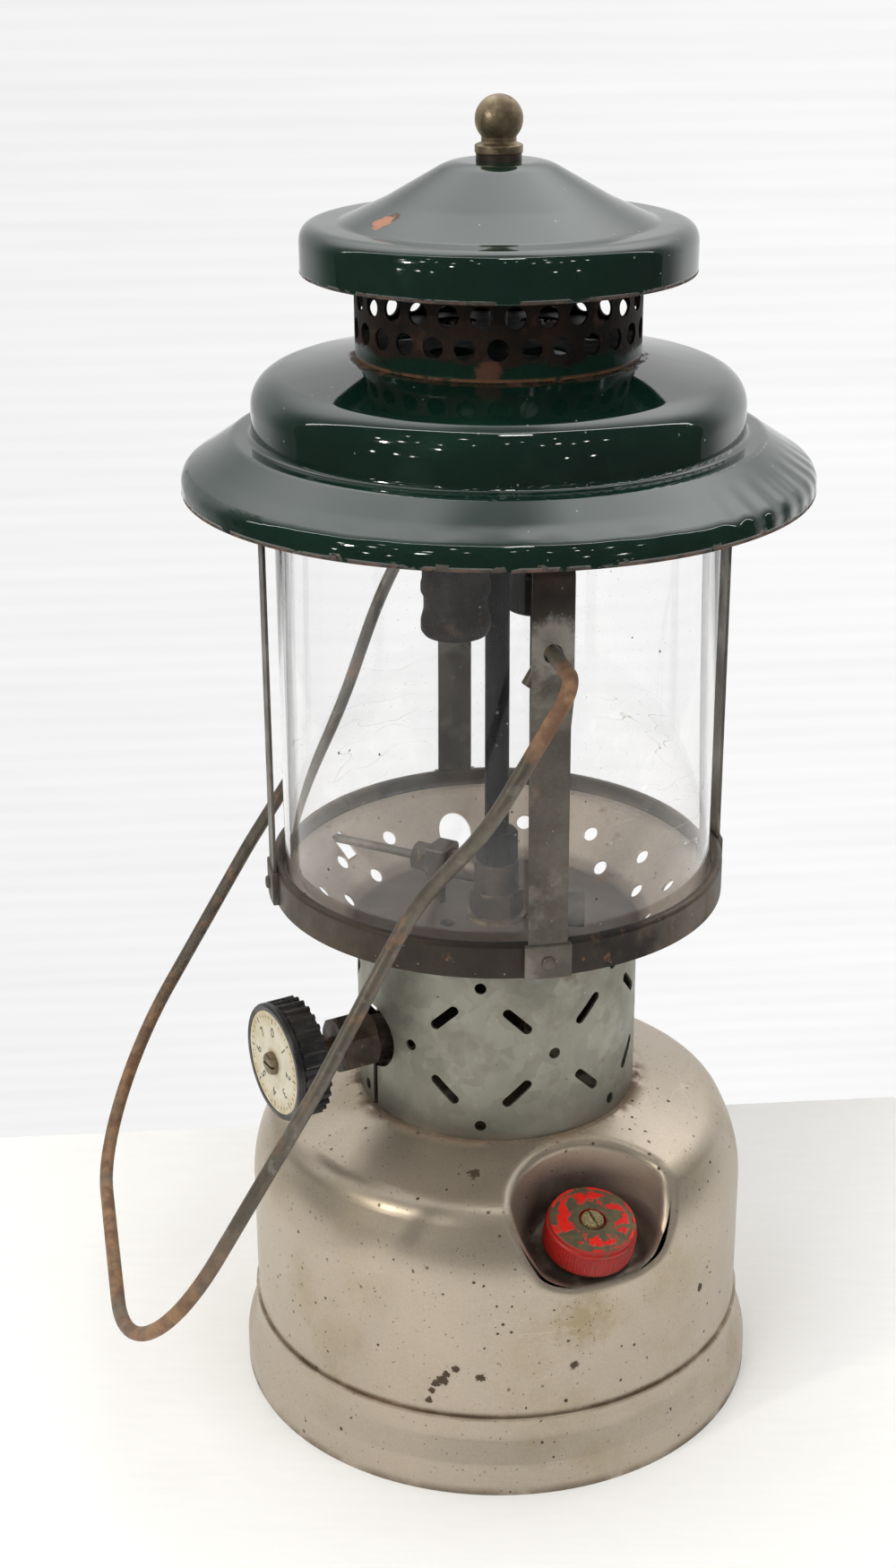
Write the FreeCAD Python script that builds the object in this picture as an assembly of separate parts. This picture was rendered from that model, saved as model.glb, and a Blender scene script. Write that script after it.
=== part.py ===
"""Pressure lantern: tank, valve, pump, burner, globe, cage, ventilator and bail.

Millimetres, +Z up. The origin is the centre of the foot, on the surface it stands on.
Azimuths are degrees anticlockwise from +X, seen from above; -Y is the filler side.
Each piece is written to parts/NAME.step.
"""
import FreeCAD, Part
import math
import os

V = FreeCAD.Vector
UP = V(0, 0, 1)

# ---------------------------------------------------------------- driving sizes
# Sheet thicknesses and clearances
TANK_WALL = 1.0
SHEET = 0.8
ENAMEL = 1.0
RUNNING = 0.1          # radial clearance of a turning or sliding fit
LOOSE = 0.3            # gap between pieces that only pass each other
CORNER_SHARE = 0.48    # most of a side that one rounded corner may take up
CUT_OVER = 1.0         # how far a cutter runs past the face it opens
EDGE = 0.5             # softened edge of a small turned piece
FULL_EDGE = 0.9        # share of a head's height that its rounding takes up
MATCH = 0.05           # distance within which a point counts as lying on a surface

# Tank and its skirt
TANK_R = 74.3
TANK_FOOT_Z = 6.0
TANK_KNEE_Z = 72.5
BARREL_ROUND = 39.0
SHOULDER_INSET = 6.8
SHOULDER_Z = 88.2
SHOULDER_ROUND = 10.0
SHOULDER_SLOPE = 17.0
SEAT_MARGIN = 1.7
FLOOR_Z = 14.0
FLOOR_CROWN = 1.5
FLOOR_CORNER_R = 4.0
FLOOR_BLEND_R = 20.0
SKIRT_FLARE = 3.9
SKIRT_KNEE_Z = 8.5
SKIRT_NECK_Z = 18.5
SKIRT_TOP_Z = 24.2
SKIRT_KNEE_R = 12.0
SKIRT_NECK_R = 10.0

# Collar between tank and pan
COLLAR_R = 41.3
COLLAR_HEIGHT = 53.2
HOLE_R = 1.7
SLOT_LENGTH = 10.6
SLOT_WIDTH = 2.9
SLOT_TILT = -44.0
PATTERN_START = 263.8
PATTERN_COUNT = 6
SLOT_OFFSET = 14.6
END_HOLE_INSET = 4.6
SLOT_ROW_OFFSET = 11.5
VALVE_HOLE_R = 9.6
SPLIT_WIDTH = 2.4

# Pan that carries the globe
PAN_HOLE_R = 7.0
LEDGE_RISE = 16.2
PAN_RIM_R = 65.4
RIM_STEP = 2.2
LEDGE_WIDTH = 5.7
RIM_RISE = 4.2
PAN_BEND_R = 2.0
HEM_BEND_R = 0.6
VENT_CUT = 3.0
HEM_DROP = 9.4
VENT_R = 2.3
LIGHTING_HOLE = (6.4, 5.0)
DISC_HOLES = ((15.4, 201.5), (26.7, 234.6), (15.4, 21.5), (26.7, 54.6))
VENTS_PER_ROW = 14
VENT_ROWS = ((18.0, 2.2), (3.0, 8.5))
LIGHTING_VENT = 4
LIGHTING_RISE = 6.5

# Globe
GLOBE_PLAY = 3.0
GLOBE_WALL = 2.7
GLOBE_HEIGHT = 119.5
GLOBE_EDGE = 1.0

# Cage
STRIP_WIDTH = 10.6
STRIP_ANGLES = {"front": 282.0, "left": 192.0, "back": 102.0, "right": 12.0}
EAR_STRIPS = ("front", "back")
STRIP_ABOVE_GLOBE = 6.61
EAR_RAISE = 2.0
EAR_ABOVE = 20.0
EAR_BELOW = 13.0
EAR_FOLD = 8.0
EAR_BEND_R = 5.0
FOOT_WIDTH = 12.6
FOOT_THICK = 0.7
RING_BAND = 12.0
RING_FLANGE = 3.8
RIVET_R = 1.9
RIVET_HEAD = 1.0

# Bail
WIRE_R = 2.05
EAR_HOLE_R = 2.6
BAIL_PIVOT_DROP = 40.0
BAIL_REST_DROP = 59.7
BAIL_HOOK = 11.0
BAIL_REACH = 91.0
BAIL_STRAIGHT = 42.0
BAIL_KINK = (73.8, 74.4)
BAIL_HIP = (81.2, 128.0)
BAIL_LENGTH = 235.0
BAIL_CORNER_R = 77.0
BAIL_BEND_R = 6.5
BAIL_HOOK_R = 2.15
BAIL_SHOULDER_R = 40.0
BAIL_KINK_R = 40.0
BAIL_HIP_R = 60.0

# Ventilator: hat, perforated band and cap
BRIM_REACH = 19.4
BRIM_DROP = 14.6
BRIM_ROLL_Z = 9.3
BRIM_SLOPE = 33.5
BRIM_ROLL_R = 5.0
BRIM_ROOT_R = 3.0
DOME_ROOT_R = 1.5
DOME_STEP = 0.7
DOME_SHOULDER = 15.3
DOME_ROUND = 15.0
DOME_SLOPE = 10.7
BAND_R = 38.45
NECK_FLANGE = 3.6
BAND_ROWS = (8.2, 16.3)
BAND_HOLE_R = 2.85
BAND_HOLES = 28
CAP_R = 52.8
CAP_SKIRT = 9.8
CAP_ROUND = 6.5
CAP_RISE = 31.87
CAP_FLAT_R = 43.0
CROWN_R = 12.7
CROWN_RISE = 18.4
CAP_ROOT_R = 15.0
CROWN_ROUND = 17.0
LIP_WIDTH = 3.0
BAFFLE_SLOTS = 6
BAFFLE_SLOT_R = 6.0
BAFFLE_SLOT_AT = 24.0
BAFFLE_HOLE_R = 4.8

# Stud and ball nut
STUD_R = 2.4
STUD_ABOVE_CAP = 9.0
WASHER_R = 6.0
WASHER_THICK = 1.7
NUT_FLANGE_R = 6.3
NUT_FLANGE = 2.2
NUT_NECK_R = 4.6
NUT_STEP = 0.6
BALL_R = 6.3
BALL_RISE = 8.6

# Valve in the collar
BUSHING_R = 10.0
BUSHING_DEPTH = 8.0
BUSHING_RISE = 2.5
SHANK_R = 6.5
BODY_R = 8.5
BODY_NECK_DROP = 18.0
BODY_TAPER = 4.0
CHANNEL_R = 1.5
VALVE_ANGLE = 211.0
VALVE_RISE = 23.31
ARM_R = 6.0
ARM_END = 49.0
STEM_R = 2.8
STEM_TIP = 8.0
STEM_SEAT = 12.0
STEM_POINT_R = 0.6
PACKING_NUT_AF = 15.5
PACKING_NUT_SPAN = (43.4, 54.5)
PACKING_THICK = 2.0
PACKING_NUT_CHAMFER = 1.0
WHEEL_R = 17.3
WHEEL_SPAN = (64.0, 74.3)
WHEEL_HUB_R = 6.2
WHEEL_RIM_THICK = 2.2
WHEEL_RIBS = 30
WHEEL_RIB_R = 0.8
WHEEL_RIB_OUT = 0.3
WHEEL_WEB_FORWARD = 1.0
WHEEL_EDGE = 1.0
DISC_R = 15.2
DISC_THICK = 0.6
DISC_RECESS = 0.8
SCREW_HEAD_R = 3.3
SCREW_HEAD = 2.1
SCREW_R = 1.6
SCREW_DEPTH = 8.0
SCREW_DOME = 1.6
SLOT_CUT = (0.8, 0.9)  # width and depth of a screwdriver slot
PICKUP_R = 2.0
PICKUP_BOTTOM_Z = 19.0
PICKUP_WALL = 0.6

# Filler
FILLER_ANGLE = 295.5
FILLER_TILT = 16.0
FILLER_CLEAR = 17.6
FILLER_FLOOR_Z = 69.0
WELL_FLOOR_R = 15.2
WELL_MOUTH_R = 21.5
WELL_HEIGHT = 22.0
WELL_ROUND = 4.0
WELL_LIP_ROUND = 3.5
WELL_SPREAD = 1.22        # how much wider it is across than outwards
NECK_R = 9.4
NECK_BORE = 6.5
NECK_BELOW = 4.0
NECK_ABOVE = 7.3
GASKET = 0.8
INSERT = 0.9
INSERT_HUB_R = 3.2
INSERT_HUB = 6.0
INSERT_BLIND = 0.8
FILLER_CAP_R = 13.0
FILLER_CAP_GAP = 1.5
FILLER_CAP_TOP = 2.4
FILLER_CAP_RIM = 1.4
FILLER_CAP_GROOVE = 0.5
FILLER_RECESS_R = 4.0
FILLER_RECESS = 1.4
FILLER_SCREW_HEAD_R = 3.3
FILLER_SCREW_HEAD = 1.8
FILLER_SCREW_DOME = 1.2
FILLER_SCREW_R = 1.6

# Pump
PUMP_ANGLE = 80.0
PUMP_CLEAR = 14.7
PUMP_R = 9.5
PUMP_BOTTOM_Z = 24.0
PUMP_TOP_Z = 99.0
PUMP_CAP_SKIRT = 2.2
PUMP_CAP_THICK = 2.0
PUMP_CAP_WALL = 1.0
ROD_R = 2.5
CHECK_VALVE = 10.0
CHECK_PORT_R = 1.2
LEATHER_Z = 46.0
LEATHER = 8.0
LEATHER_PLATE = 2.0
LEATHER_SKIRT = 1.5
LEATHER_NUT = 3.0
LEATHER_NUT_R = 4.5
KNOB_R = 9.0
KNOB = 9.5
KNOB_TAPER = (2.0, 3.0)
KNOB_ROUND = 2.5

# Burner on the column in the middle
COLUMN_THREAD_R = 5.0
GEN_WASHER_R = 8.5
GEN_WASHER = 1.2
JAM_NUT_AF = 13.5
JAM_NUT_RISE = 8.81
JAM_NUT_CHAMFER = 0.8
CLEANER_BODY_R = 6.5
CLEANER_BODY_RISE = 17.31
CLEANER_RISE = 13.11
CLEANER_ANGLE = 151.2
CLEANER_ARM_R = 4.0
CLEANER_ARM_END = 15.0
CLEANER_BLOCK = (7.0, 9.5, 10.5)
CLEANER_BLOCK_EDGE = 1.0
CLEANER_LEG_R = 1.2
CLEANER_NUT_AF = 8.0
CLEANER_NUT = 5.0
LEVER_R = 1.3
LEVER_START = 3.0
LEVER_END = 71.0
LEVER_CRANK = 17.0
LEVER_BEND_R = 4.0
SLEEVE_AF = 10.6
SLEEVE_RISE = 26.81
GENERATOR_R = 3.5
GENERATOR_BORE = 2.4
MANIFOLD_DROP = 8.0
MANIFOLD_HEIGHT = 13.0
MANIFOLD_WALL = 1.6
MANIFOLD_MARGIN = 1.8
TIP_R = 3.3
TIP_BELOW = 2.0
TIP_ABOVE = 4.0
TIP_TAPER = 2.5
TIP_END_R = 1.2
ORIFICE_R = 0.3
NEEDLE_R = 0.8
NEEDLE_WIRE_R = 0.2
NEEDLE_WIRE = 5.5
NEEDLE_BELOW = 2.0
NEEDLE_TAPER = 1.0
MANTLE_CAP_ANGLE = 43.0
MANTLE_CAP_AT = 15.8
MANTLE_CAP_R = 9.7
MANTLE_CAP_DROP = 45.4
MANTLE_CAP_WALL = 1.0
MANTLE_CAP_MOUTH = 0.9     # how far each part of the profile lies inside the cap's radius
MANTLE_CAP_WAIST = 0.8
MANTLE_CAP_NECK = 0.4
MANTLE_CAP_LIP = (1.2, 4.0)    # heights above the mouth where each part starts and ends
MANTLE_CAP_GROOVE = (7.0, 10.5)
MANTLE_CAP_BEAD = (12.0, 14.0)
MANTLE_CAP_NECK_RISE = 15.5
MANTLE_CAP_BEND_R = 1.2
MANTLE_CAP_WAIST_R = 2.0
PORT_MARGIN = 2.0
SCREEN_INSET = 2.4
SCREEN_THICK = 0.8
AIR_TUBE_AT = (14.0, -12.0)
AIR_TUBE_R = 5.0
AIR_TUBE_WALL = 0.8
AIR_ELBOW_RISE = 7.31
AIR_MOUTH_X = 25.0
AIR_BEND_R = 8.0

# ---------------------------------------------------------------- worked-out places
SHOULDER_R = TANK_R - SHOULDER_INSET
SKIRT_FOOT_R = TANK_R + SKIRT_FLARE
SEAT_R = COLLAR_R + SEAT_MARGIN
FILLER_FLOOR_R = SEAT_R + FILLER_CLEAR
PUMP_AT = COLLAR_R + PUMP_CLEAR
SEAT_Z = SHOULDER_Z + (SHOULDER_R - SEAT_R) * math.tan(math.radians(SHOULDER_SLOPE))
VALVE_Z = SEAT_Z + VALVE_RISE
COLLAR_TOP_Z = SEAT_Z + COLLAR_HEIGHT
PAN_TOP_Z = COLLAR_TOP_Z + SHEET
JAM_NUT_TOP_Z = PAN_TOP_Z + JAM_NUT_RISE
CLEANER_BODY_TOP_Z = PAN_TOP_Z + CLEANER_BODY_RISE
CLEANER_Z = PAN_TOP_Z + CLEANER_RISE
SLEEVE_TOP_Z = PAN_TOP_Z + SLEEVE_RISE
AIR_ELBOW_Z = PAN_TOP_Z + AIR_ELBOW_RISE
LEDGE_Z = COLLAR_TOP_Z + LEDGE_RISE
GLOBE_Z = LEDGE_Z + SHEET
STRIP_TOP_Z = GLOBE_Z + GLOBE_HEIGHT + STRIP_ABOVE_GLOBE
BAIL_PIVOT_Z = STRIP_TOP_Z - BAIL_PIVOT_DROP
MANIFOLD_Z = STRIP_TOP_Z - MANIFOLD_DROP
RIM_Z = LEDGE_Z + RIM_RISE
HEM_Z = RIM_Z - HEM_DROP
PAN_WALL_R = PAN_RIM_R - RIM_STEP
LEDGE_R = PAN_WALL_R - LEDGE_WIDTH
GLOBE_R = PAN_RIM_R - SHEET - GLOBE_PLAY
STRIP_R = PAN_RIM_R
STRIP_OUT_R = STRIP_R + SHEET
RING_FLANGE_R = STRIP_OUT_R + RING_FLANGE
DOME_R = STRIP_OUT_R + DOME_STEP
BRIM_R = DOME_R + BRIM_REACH
HAT_SEAT_Z = STRIP_TOP_Z + SHEET
VALLEY_Z = HAT_SEAT_Z + ENAMEL
DOME_Z = VALLEY_Z + DOME_SHOULDER
BAND_IN_R = BAND_R - SHEET
NECK_Z = DOME_Z + (DOME_R - BAND_IN_R) * math.tan(math.radians(DOME_SLOPE))
NECK_TOP_Z = NECK_Z + NECK_FLANGE
CAP_FLAT_Z = NECK_Z + CAP_RISE
BAND_TOP_Z = CAP_FLAT_Z - ENAMEL
CROWN_Z = CAP_FLAT_Z + CROWN_RISE
STUD_TOP_Z = CROWN_Z + STUD_ABOVE_CAP
STUD_HOLE_R = STUD_R + RUNNING
BODY_TOP_Z = PAN_TOP_Z
NUT_BASE_Z = BODY_TOP_Z + GEN_WASHER
GENERATOR_TOP_Z = MANIFOLD_Z - TIP_BELOW
MANIFOLD_TOP_Z = MANIFOLD_Z + MANIFOLD_HEIGHT
MANTLE_CAP_Z = MANIFOLD_Z - MANTLE_CAP_DROP
INSERT_BASE = NECK_ABOVE + GASKET
CAP_INSIDE = INSERT_BASE + INSERT + RUNNING
CAP_TOP = CAP_INSIDE + FILLER_CAP_TOP
RECESS_FLOOR = CAP_TOP - FILLER_RECESS
FILLER_SCREW_END = INSERT_BASE - INSERT_HUB + INSERT_BLIND
PUMP_BORE = PUMP_R - SHEET
PUMP_CAP_TOP_Z = PUMP_TOP_Z + PUMP_CAP_THICK
WHEEL_FACE = WHEEL_SPAN[1] - DISC_RECESS


# ---------------------------------------------------------------- geometry helpers
def rz(r, z):
    """A point of a turned outline, in the plane y = 0."""
    return V(r, 0, z)


def unit(vector):
    length = vector.Length
    return V(vector.x / length, vector.y / length, vector.z / length)


def polar(r, az, z=0.0):
    angle = math.radians(az)
    return V(r * math.cos(angle), r * math.sin(angle), z)


def rounded(points, radii, closed):
    """Edges of a polyline with rounded corners; a radius shrinks where its sides are short."""
    count = len(points)
    corners = []
    for i, corner in enumerate(points):
        at_end = not closed and i in (0, count - 1)
        if radii[i] <= 0 or at_end:
            corners.append((corner, None, corner))
            continue
        back = points[i - 1] - corner
        ahead = points[(i + 1) % count] - corner
        half = back.getAngle(ahead) / 2
        reach = radii[i] / math.tan(half)
        reach = min(reach, CORNER_SHARE * back.Length, CORNER_SHARE * ahead.Length)
        radius = reach * math.tan(half)
        back = unit(back)
        ahead = unit(ahead)
        inward = unit(back + ahead)
        middle = corner + inward * (radius / math.sin(half) - radius)
        corners.append((corner + back * reach, middle, corner + ahead * reach))
    edges = []
    for i in range(count):
        arrive, middle, leave = corners[i]
        if middle is not None:
            edges.append(Part.Arc(arrive, middle, leave).toShape())
        if i < count - 1 or closed:
            edges.append(Part.makeLine(leave, corners[(i + 1) % count][0]))
    return edges


def lathe(points, radii=None, angle=360.0):
    """The closed outline turned about the Z axis."""
    if radii is None:
        radii = [0.0] * len(points)
    face = Part.Face(Part.Wire(rounded(points, radii, True)))
    return face.revolve(V(0, 0, 0), UP, angle)


def offset_path(points, distance):
    """The open outline moved sideways, to the left of its own direction."""
    normals = []
    for start, stop in zip(points, points[1:]):
        run = unit(stop - start)
        normals.append(V(-run.z, 0, run.x))
    moved = [points[0] + normals[0] * distance]
    for before, after, point in zip(normals, normals[1:], points[1:]):
        moved.append(point + (before + after) * (distance / (1 + before.dot(after))))
    moved.append(points[-1] + normals[-1] * distance)
    return moved


def sheet(points, radii, thickness, angle=360.0):
    """Sheet metal turned about Z: the path is one face, the other lies to its left."""
    other = offset_path(points, thickness)
    other_radii = [0.0]
    for before, point, after, radius in zip(points, points[1:], points[2:], radii[1:]):
        first = point - before
        second = after - point
        turns_left = first.x * second.z - first.z * second.x > 0
        inner = radius - thickness if turns_left else radius + thickness
        other_radii.append(max(inner, 0.0) if radius > 0 else 0.0)
    other_radii.append(0.0)
    return lathe(points + other[::-1], radii + other_radii[::-1], angle)


def tube(r_out, r_in, z0, z1):
    return lathe([rz(r_in, z0), rz(r_out, z0), rz(r_out, z1), rz(r_in, z1)])


def disc(r, z0, z1):
    return Part.makeCylinder(r, z1 - z0, V(0, 0, z0), UP)


def hexagon(across_flats, z0, z1, chamfer=0.6):
    """A hexagonal nut blank along Z, its corners turned off at both ends."""
    corner = across_flats / math.sqrt(3)
    points = [polar(corner, 60 * k, z0) for k in range(7)]
    prism = Part.Face(Part.makePolygon(points)).extrude(V(0, 0, z1 - z0))
    flat = across_flats / 2
    turned = lathe([rz(0, z0), rz(flat, z0), rz(corner, z0 + chamfer),
                    rz(corner, z1 - chamfer), rz(flat, z1), rz(0, z1)])
    return prism.common(turned)


def along(shape, azimuth, z):
    """A piece made along +Z, laid level so that it points out at this azimuth."""
    laid = shape.copy()
    laid.rotate(V(0, 0, 0), V(0, 1, 0), 90)
    laid.rotate(V(0, 0, 0), UP, azimuth)
    laid.translate(V(0, 0, z))
    return laid


def moved(shape, place):
    shape = shape.copy()
    shape.translate(place)
    return shape


def turned(shape, azimuth):
    shape = shape.copy()
    shape.rotate(V(0, 0, 0), UP, azimuth)
    return shape


def bent_rod(points, radii, r):
    """A round rod that follows straight runs joined by tangent arcs."""
    path = Part.Wire(rounded(points, radii, False))
    start = unit(points[1] - points[0])
    section = Part.Wire(Part.makeCircle(r, points[0], start))
    return path.makePipeShell([section], True, False)


def save(name, shape):
    shape.exportStep(os.path.join("parts", name + ".step"))


# ---------------------------------------------------------------- tank
def tank_path():
    knee = rz(TANK_R, TANK_KNEE_Z)
    shoulder = rz(SHOULDER_R, SHOULDER_Z)
    return [rz(TANK_R, TANK_FOOT_Z), knee, shoulder, rz(SEAT_R, SEAT_Z), rz(BUSHING_R, SEAT_Z)]


def on_filler_axis(shape):
    """A piece made along +Z from the well's floor, tilted outwards into the shoulder."""
    placed = shape.copy()
    placed.rotate(V(0, 0, 0), V(0, 1, 0), FILLER_TILT)
    placed.rotate(V(0, 0, 0), UP, FILLER_ANGLE)
    placed.translate(polar(FILLER_FLOOR_R, FILLER_ANGLE, FILLER_FLOOR_Z))
    return placed


def well_form(grow):
    """The filler well's space, larger by grow on every side but the mouth."""
    slope = (WELL_MOUTH_R - WELL_FLOOR_R) / WELL_HEIGHT
    floor_r = WELL_FLOOR_R + grow
    mouth_r = WELL_MOUTH_R + grow + slope * WELL_HEIGHT
    form = lathe(
        [rz(0, -grow), rz(floor_r, -grow), rz(mouth_r, 2 * WELL_HEIGHT), rz(0, 2 * WELL_HEIGHT)],
        [0, WELL_ROUND + grow, 0, 0])
    spread = FreeCAD.Matrix()
    spread.scale(1, WELL_SPREAD, 1)
    return on_filler_axis(form.transformGeometry(spread))


def tank_shell():
    path = tank_path()
    radii = [0, BARREL_ROUND, SHOULDER_ROUND, SEAT_MARGIN, 0]
    inner_path = offset_path(path, TANK_WALL)
    inner_radii = [0, BARREL_ROUND - TANK_WALL, SHOULDER_ROUND - TANK_WALL, SEAT_MARGIN, 0]
    outer = lathe(path[:-1] + [rz(0, SEAT_Z), rz(0, TANK_FOOT_Z)], radii[:-1] + [0, 0])
    inner = lathe(inner_path[:-1] + [rz(0, SEAT_Z - TANK_WALL), rz(0, TANK_FOOT_Z)],
                  inner_radii[:-1] + [0, 0])
    dished = outer.cut(well_form(0))
    lip = [edge for edge in dished.Edges if is_well_lip(edge)]
    dished = dished.makeFillet(WELL_LIP_ROUND, lip)
    shell = dished.cut(inner.cut(well_form(TANK_WALL)))
    shell = shell.cut(on_filler_axis(disc(NECK_R, -NECK_BELOW, NECK_ABOVE)))
    shell = shell.cut(disc(BUSHING_R, SEAT_Z - BUSHING_DEPTH, SEAT_Z + BUSHING_RISE))
    return shell.cut(at_pump(disc(PUMP_R, PUMP_BOTTOM_Z, PUMP_TOP_Z)))


def is_well_lip(edge):
    """True for the edges where the well breaks through the tank's outside."""
    floor = polar(FILLER_FLOOR_R, FILLER_ANGLE, FILLER_FLOOR_Z)
    tilt = math.radians(FILLER_TILT)
    axis = polar(math.sin(tilt), FILLER_ANGLE, math.cos(tilt))
    middle = edge.valueAt((edge.FirstParameter + edge.LastParameter) / 2)
    arm = middle - floor
    height = arm.dot(axis)
    side = polar(1, FILLER_ANGLE + 90)
    across = arm.dot(side)
    reach = (arm - axis * height - side * (across - across / WELL_SPREAD)).Length
    slope = (WELL_MOUTH_R - WELL_FLOOR_R) / WELL_HEIGHT
    on_cone = abs(reach - WELL_FLOOR_R - slope * height) < MATCH
    chord = edge.valueAt(edge.LastParameter) - edge.valueAt(edge.FirstParameter)
    is_seam = chord.Length > MATCH and abs(chord.dot(axis)) > FULL_EDGE * chord.Length
    return on_cone and height > WELL_ROUND and not is_seam


def tank_bottom():
    r = TANK_R - TANK_WALL
    path = [rz(r, TANK_FOOT_Z), rz(r, FLOOR_Z), rz(r / 2, FLOOR_Z + FLOOR_CROWN),
            rz(0, FLOOR_Z + FLOOR_CROWN)]
    return sheet(path, [0, FLOOR_CORNER_R, FLOOR_BLEND_R, 0], TANK_WALL)


def base_skirt():
    top_r = TANK_R + SHEET
    path = [rz(SKIRT_FOOT_R, 0), rz(SKIRT_FOOT_R, SKIRT_KNEE_Z), rz(top_r, SKIRT_NECK_Z),
            rz(top_r, SKIRT_TOP_Z)]
    return sheet(path, [0, SKIRT_KNEE_R, SKIRT_NECK_R, 0], SHEET)


def tank_bushing():
    bottom = SEAT_Z - BUSHING_DEPTH
    top = SEAT_Z + BUSHING_RISE
    return tube(BUSHING_R, SHANK_R, bottom, top)


# ---------------------------------------------------------------- filler
def filler_neck():
    return on_filler_axis(tube(NECK_R, NECK_BORE, -NECK_BELOW, NECK_ABOVE))


def filler_gasket():
    return on_filler_axis(tube(NECK_R - LOOSE, NECK_BORE, NECK_ABOVE, INSERT_BASE))


def filler_insert():
    plate = disc(NECK_R - LOOSE, INSERT_BASE, INSERT_BASE + INSERT)
    hub = disc(INSERT_HUB_R, INSERT_BASE - INSERT_HUB, INSERT_BASE)
    thread = disc(FILLER_SCREW_R, FILLER_SCREW_END, CAP_TOP)
    return on_filler_axis(plate.fuse(hub).removeSplitter().cut(thread))


def filler_cap():
    """Threaded cap with a groove round its edge and a recess that holds the screw's head."""
    hole = FILLER_SCREW_R + RUNNING
    groove_z = CAP_TOP - FILLER_CAP_RIM
    r = FILLER_CAP_R
    groove_r = r - FILLER_CAP_GROOVE
    inside = NECK_R + RUNNING
    points = [rz(inside, FILLER_CAP_GAP), rz(r, FILLER_CAP_GAP),
              rz(r, groove_z - FILLER_CAP_GROOVE), rz(groove_r, groove_z), rz(groove_r, CAP_TOP),
              rz(FILLER_RECESS_R, CAP_TOP), rz(FILLER_RECESS_R, RECESS_FLOOR),
              rz(hole, RECESS_FLOOR), rz(hole, CAP_INSIDE), rz(inside, CAP_INSIDE)]
    return on_filler_axis(lathe(points, [0, EDGE, RUNNING, RUNNING, EDGE, LOOSE, 0, 0, 0, 0]))


def filler_screw():
    base = RECESS_FLOOR + RUNNING
    top = base + FILLER_SCREW_HEAD
    shank = disc(FILLER_SCREW_R, FILLER_SCREW_END, base)
    head = lathe([rz(0, base), rz(FILLER_SCREW_HEAD_R, base), rz(FILLER_SCREW_HEAD_R, top),
                  rz(0, top)], [0, 0, FILLER_SCREW_DOME, 0])
    width, depth = SLOT_CUT
    slot = Part.makeBox(2 * FILLER_SCREW_HEAD_R, width, depth,
                        V(-FILLER_SCREW_HEAD_R, -width / 2, top - depth))
    return on_filler_axis(head.fuse(shank).cut(slot))


# ---------------------------------------------------------------- pump
def at_pump(shape):
    return moved(shape, polar(PUMP_AT, PUMP_ANGLE))


def pump_barrel():
    return at_pump(tube(PUMP_R, PUMP_BORE, PUMP_BOTTOM_Z, PUMP_TOP_Z))


def pump_check_valve():
    plug = disc(PUMP_BORE, PUMP_BOTTOM_Z, PUMP_BOTTOM_Z + CHECK_VALVE)
    port = disc(CHECK_PORT_R, PUMP_BOTTOM_Z, PUMP_BOTTOM_Z + CHECK_VALVE)
    return at_pump(plug.cut(port))


def pump_cap():
    r = PUMP_R + PUMP_CAP_WALL
    hole = ROD_R + RUNNING
    skirt_z = PUMP_TOP_Z - PUMP_CAP_SKIRT
    return at_pump(lathe(
        [rz(PUMP_R, skirt_z), rz(r, skirt_z), rz(r, PUMP_CAP_TOP_Z), rz(hole, PUMP_CAP_TOP_Z),
         rz(hole, PUMP_TOP_Z), rz(PUMP_R, PUMP_TOP_Z)], [0, 0, EDGE, 0, 0, 0]))


def pump_rod():
    return at_pump(disc(ROD_R, LEATHER_Z - LEATHER_NUT, PUMP_CAP_TOP_Z + LOOSE + KNOB / 2))


def pump_leather():
    """Cup washer, open downwards, that seals against the barrel."""
    r = PUMP_BORE - RUNNING
    inside = r - LEATHER_SKIRT
    top = LEATHER_Z + LEATHER
    plate = top - LEATHER_PLATE
    return at_pump(lathe([rz(ROD_R, plate), rz(inside, plate), rz(inside, LEATHER_Z),
                          rz(r, LEATHER_Z), rz(r, top), rz(ROD_R, top)],
                         [0, EDGE, 0, 0, 2 * EDGE, 0]))


def pump_leather_nut():
    top = LEATHER_Z + LEATHER - LEATHER_PLATE
    nut = hexagon(2 * LEATHER_NUT_R, top - LEATHER_NUT, top)
    return at_pump(nut.cut(disc(ROD_R, top - LEATHER_NUT, top)))


def pump_knob():
    bottom = PUMP_CAP_TOP_Z + LOOSE
    top = bottom + KNOB
    inset, rise = KNOB_TAPER
    knob = lathe([rz(0, bottom), rz(KNOB_R - inset, bottom), rz(KNOB_R, bottom + rise),
                  rz(KNOB_R, top), rz(0, top)], [0, EDGE, EDGE, KNOB_ROUND, 0])
    return at_pump(knob.cut(disc(ROD_R, bottom, bottom + KNOB / 2)))


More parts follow.
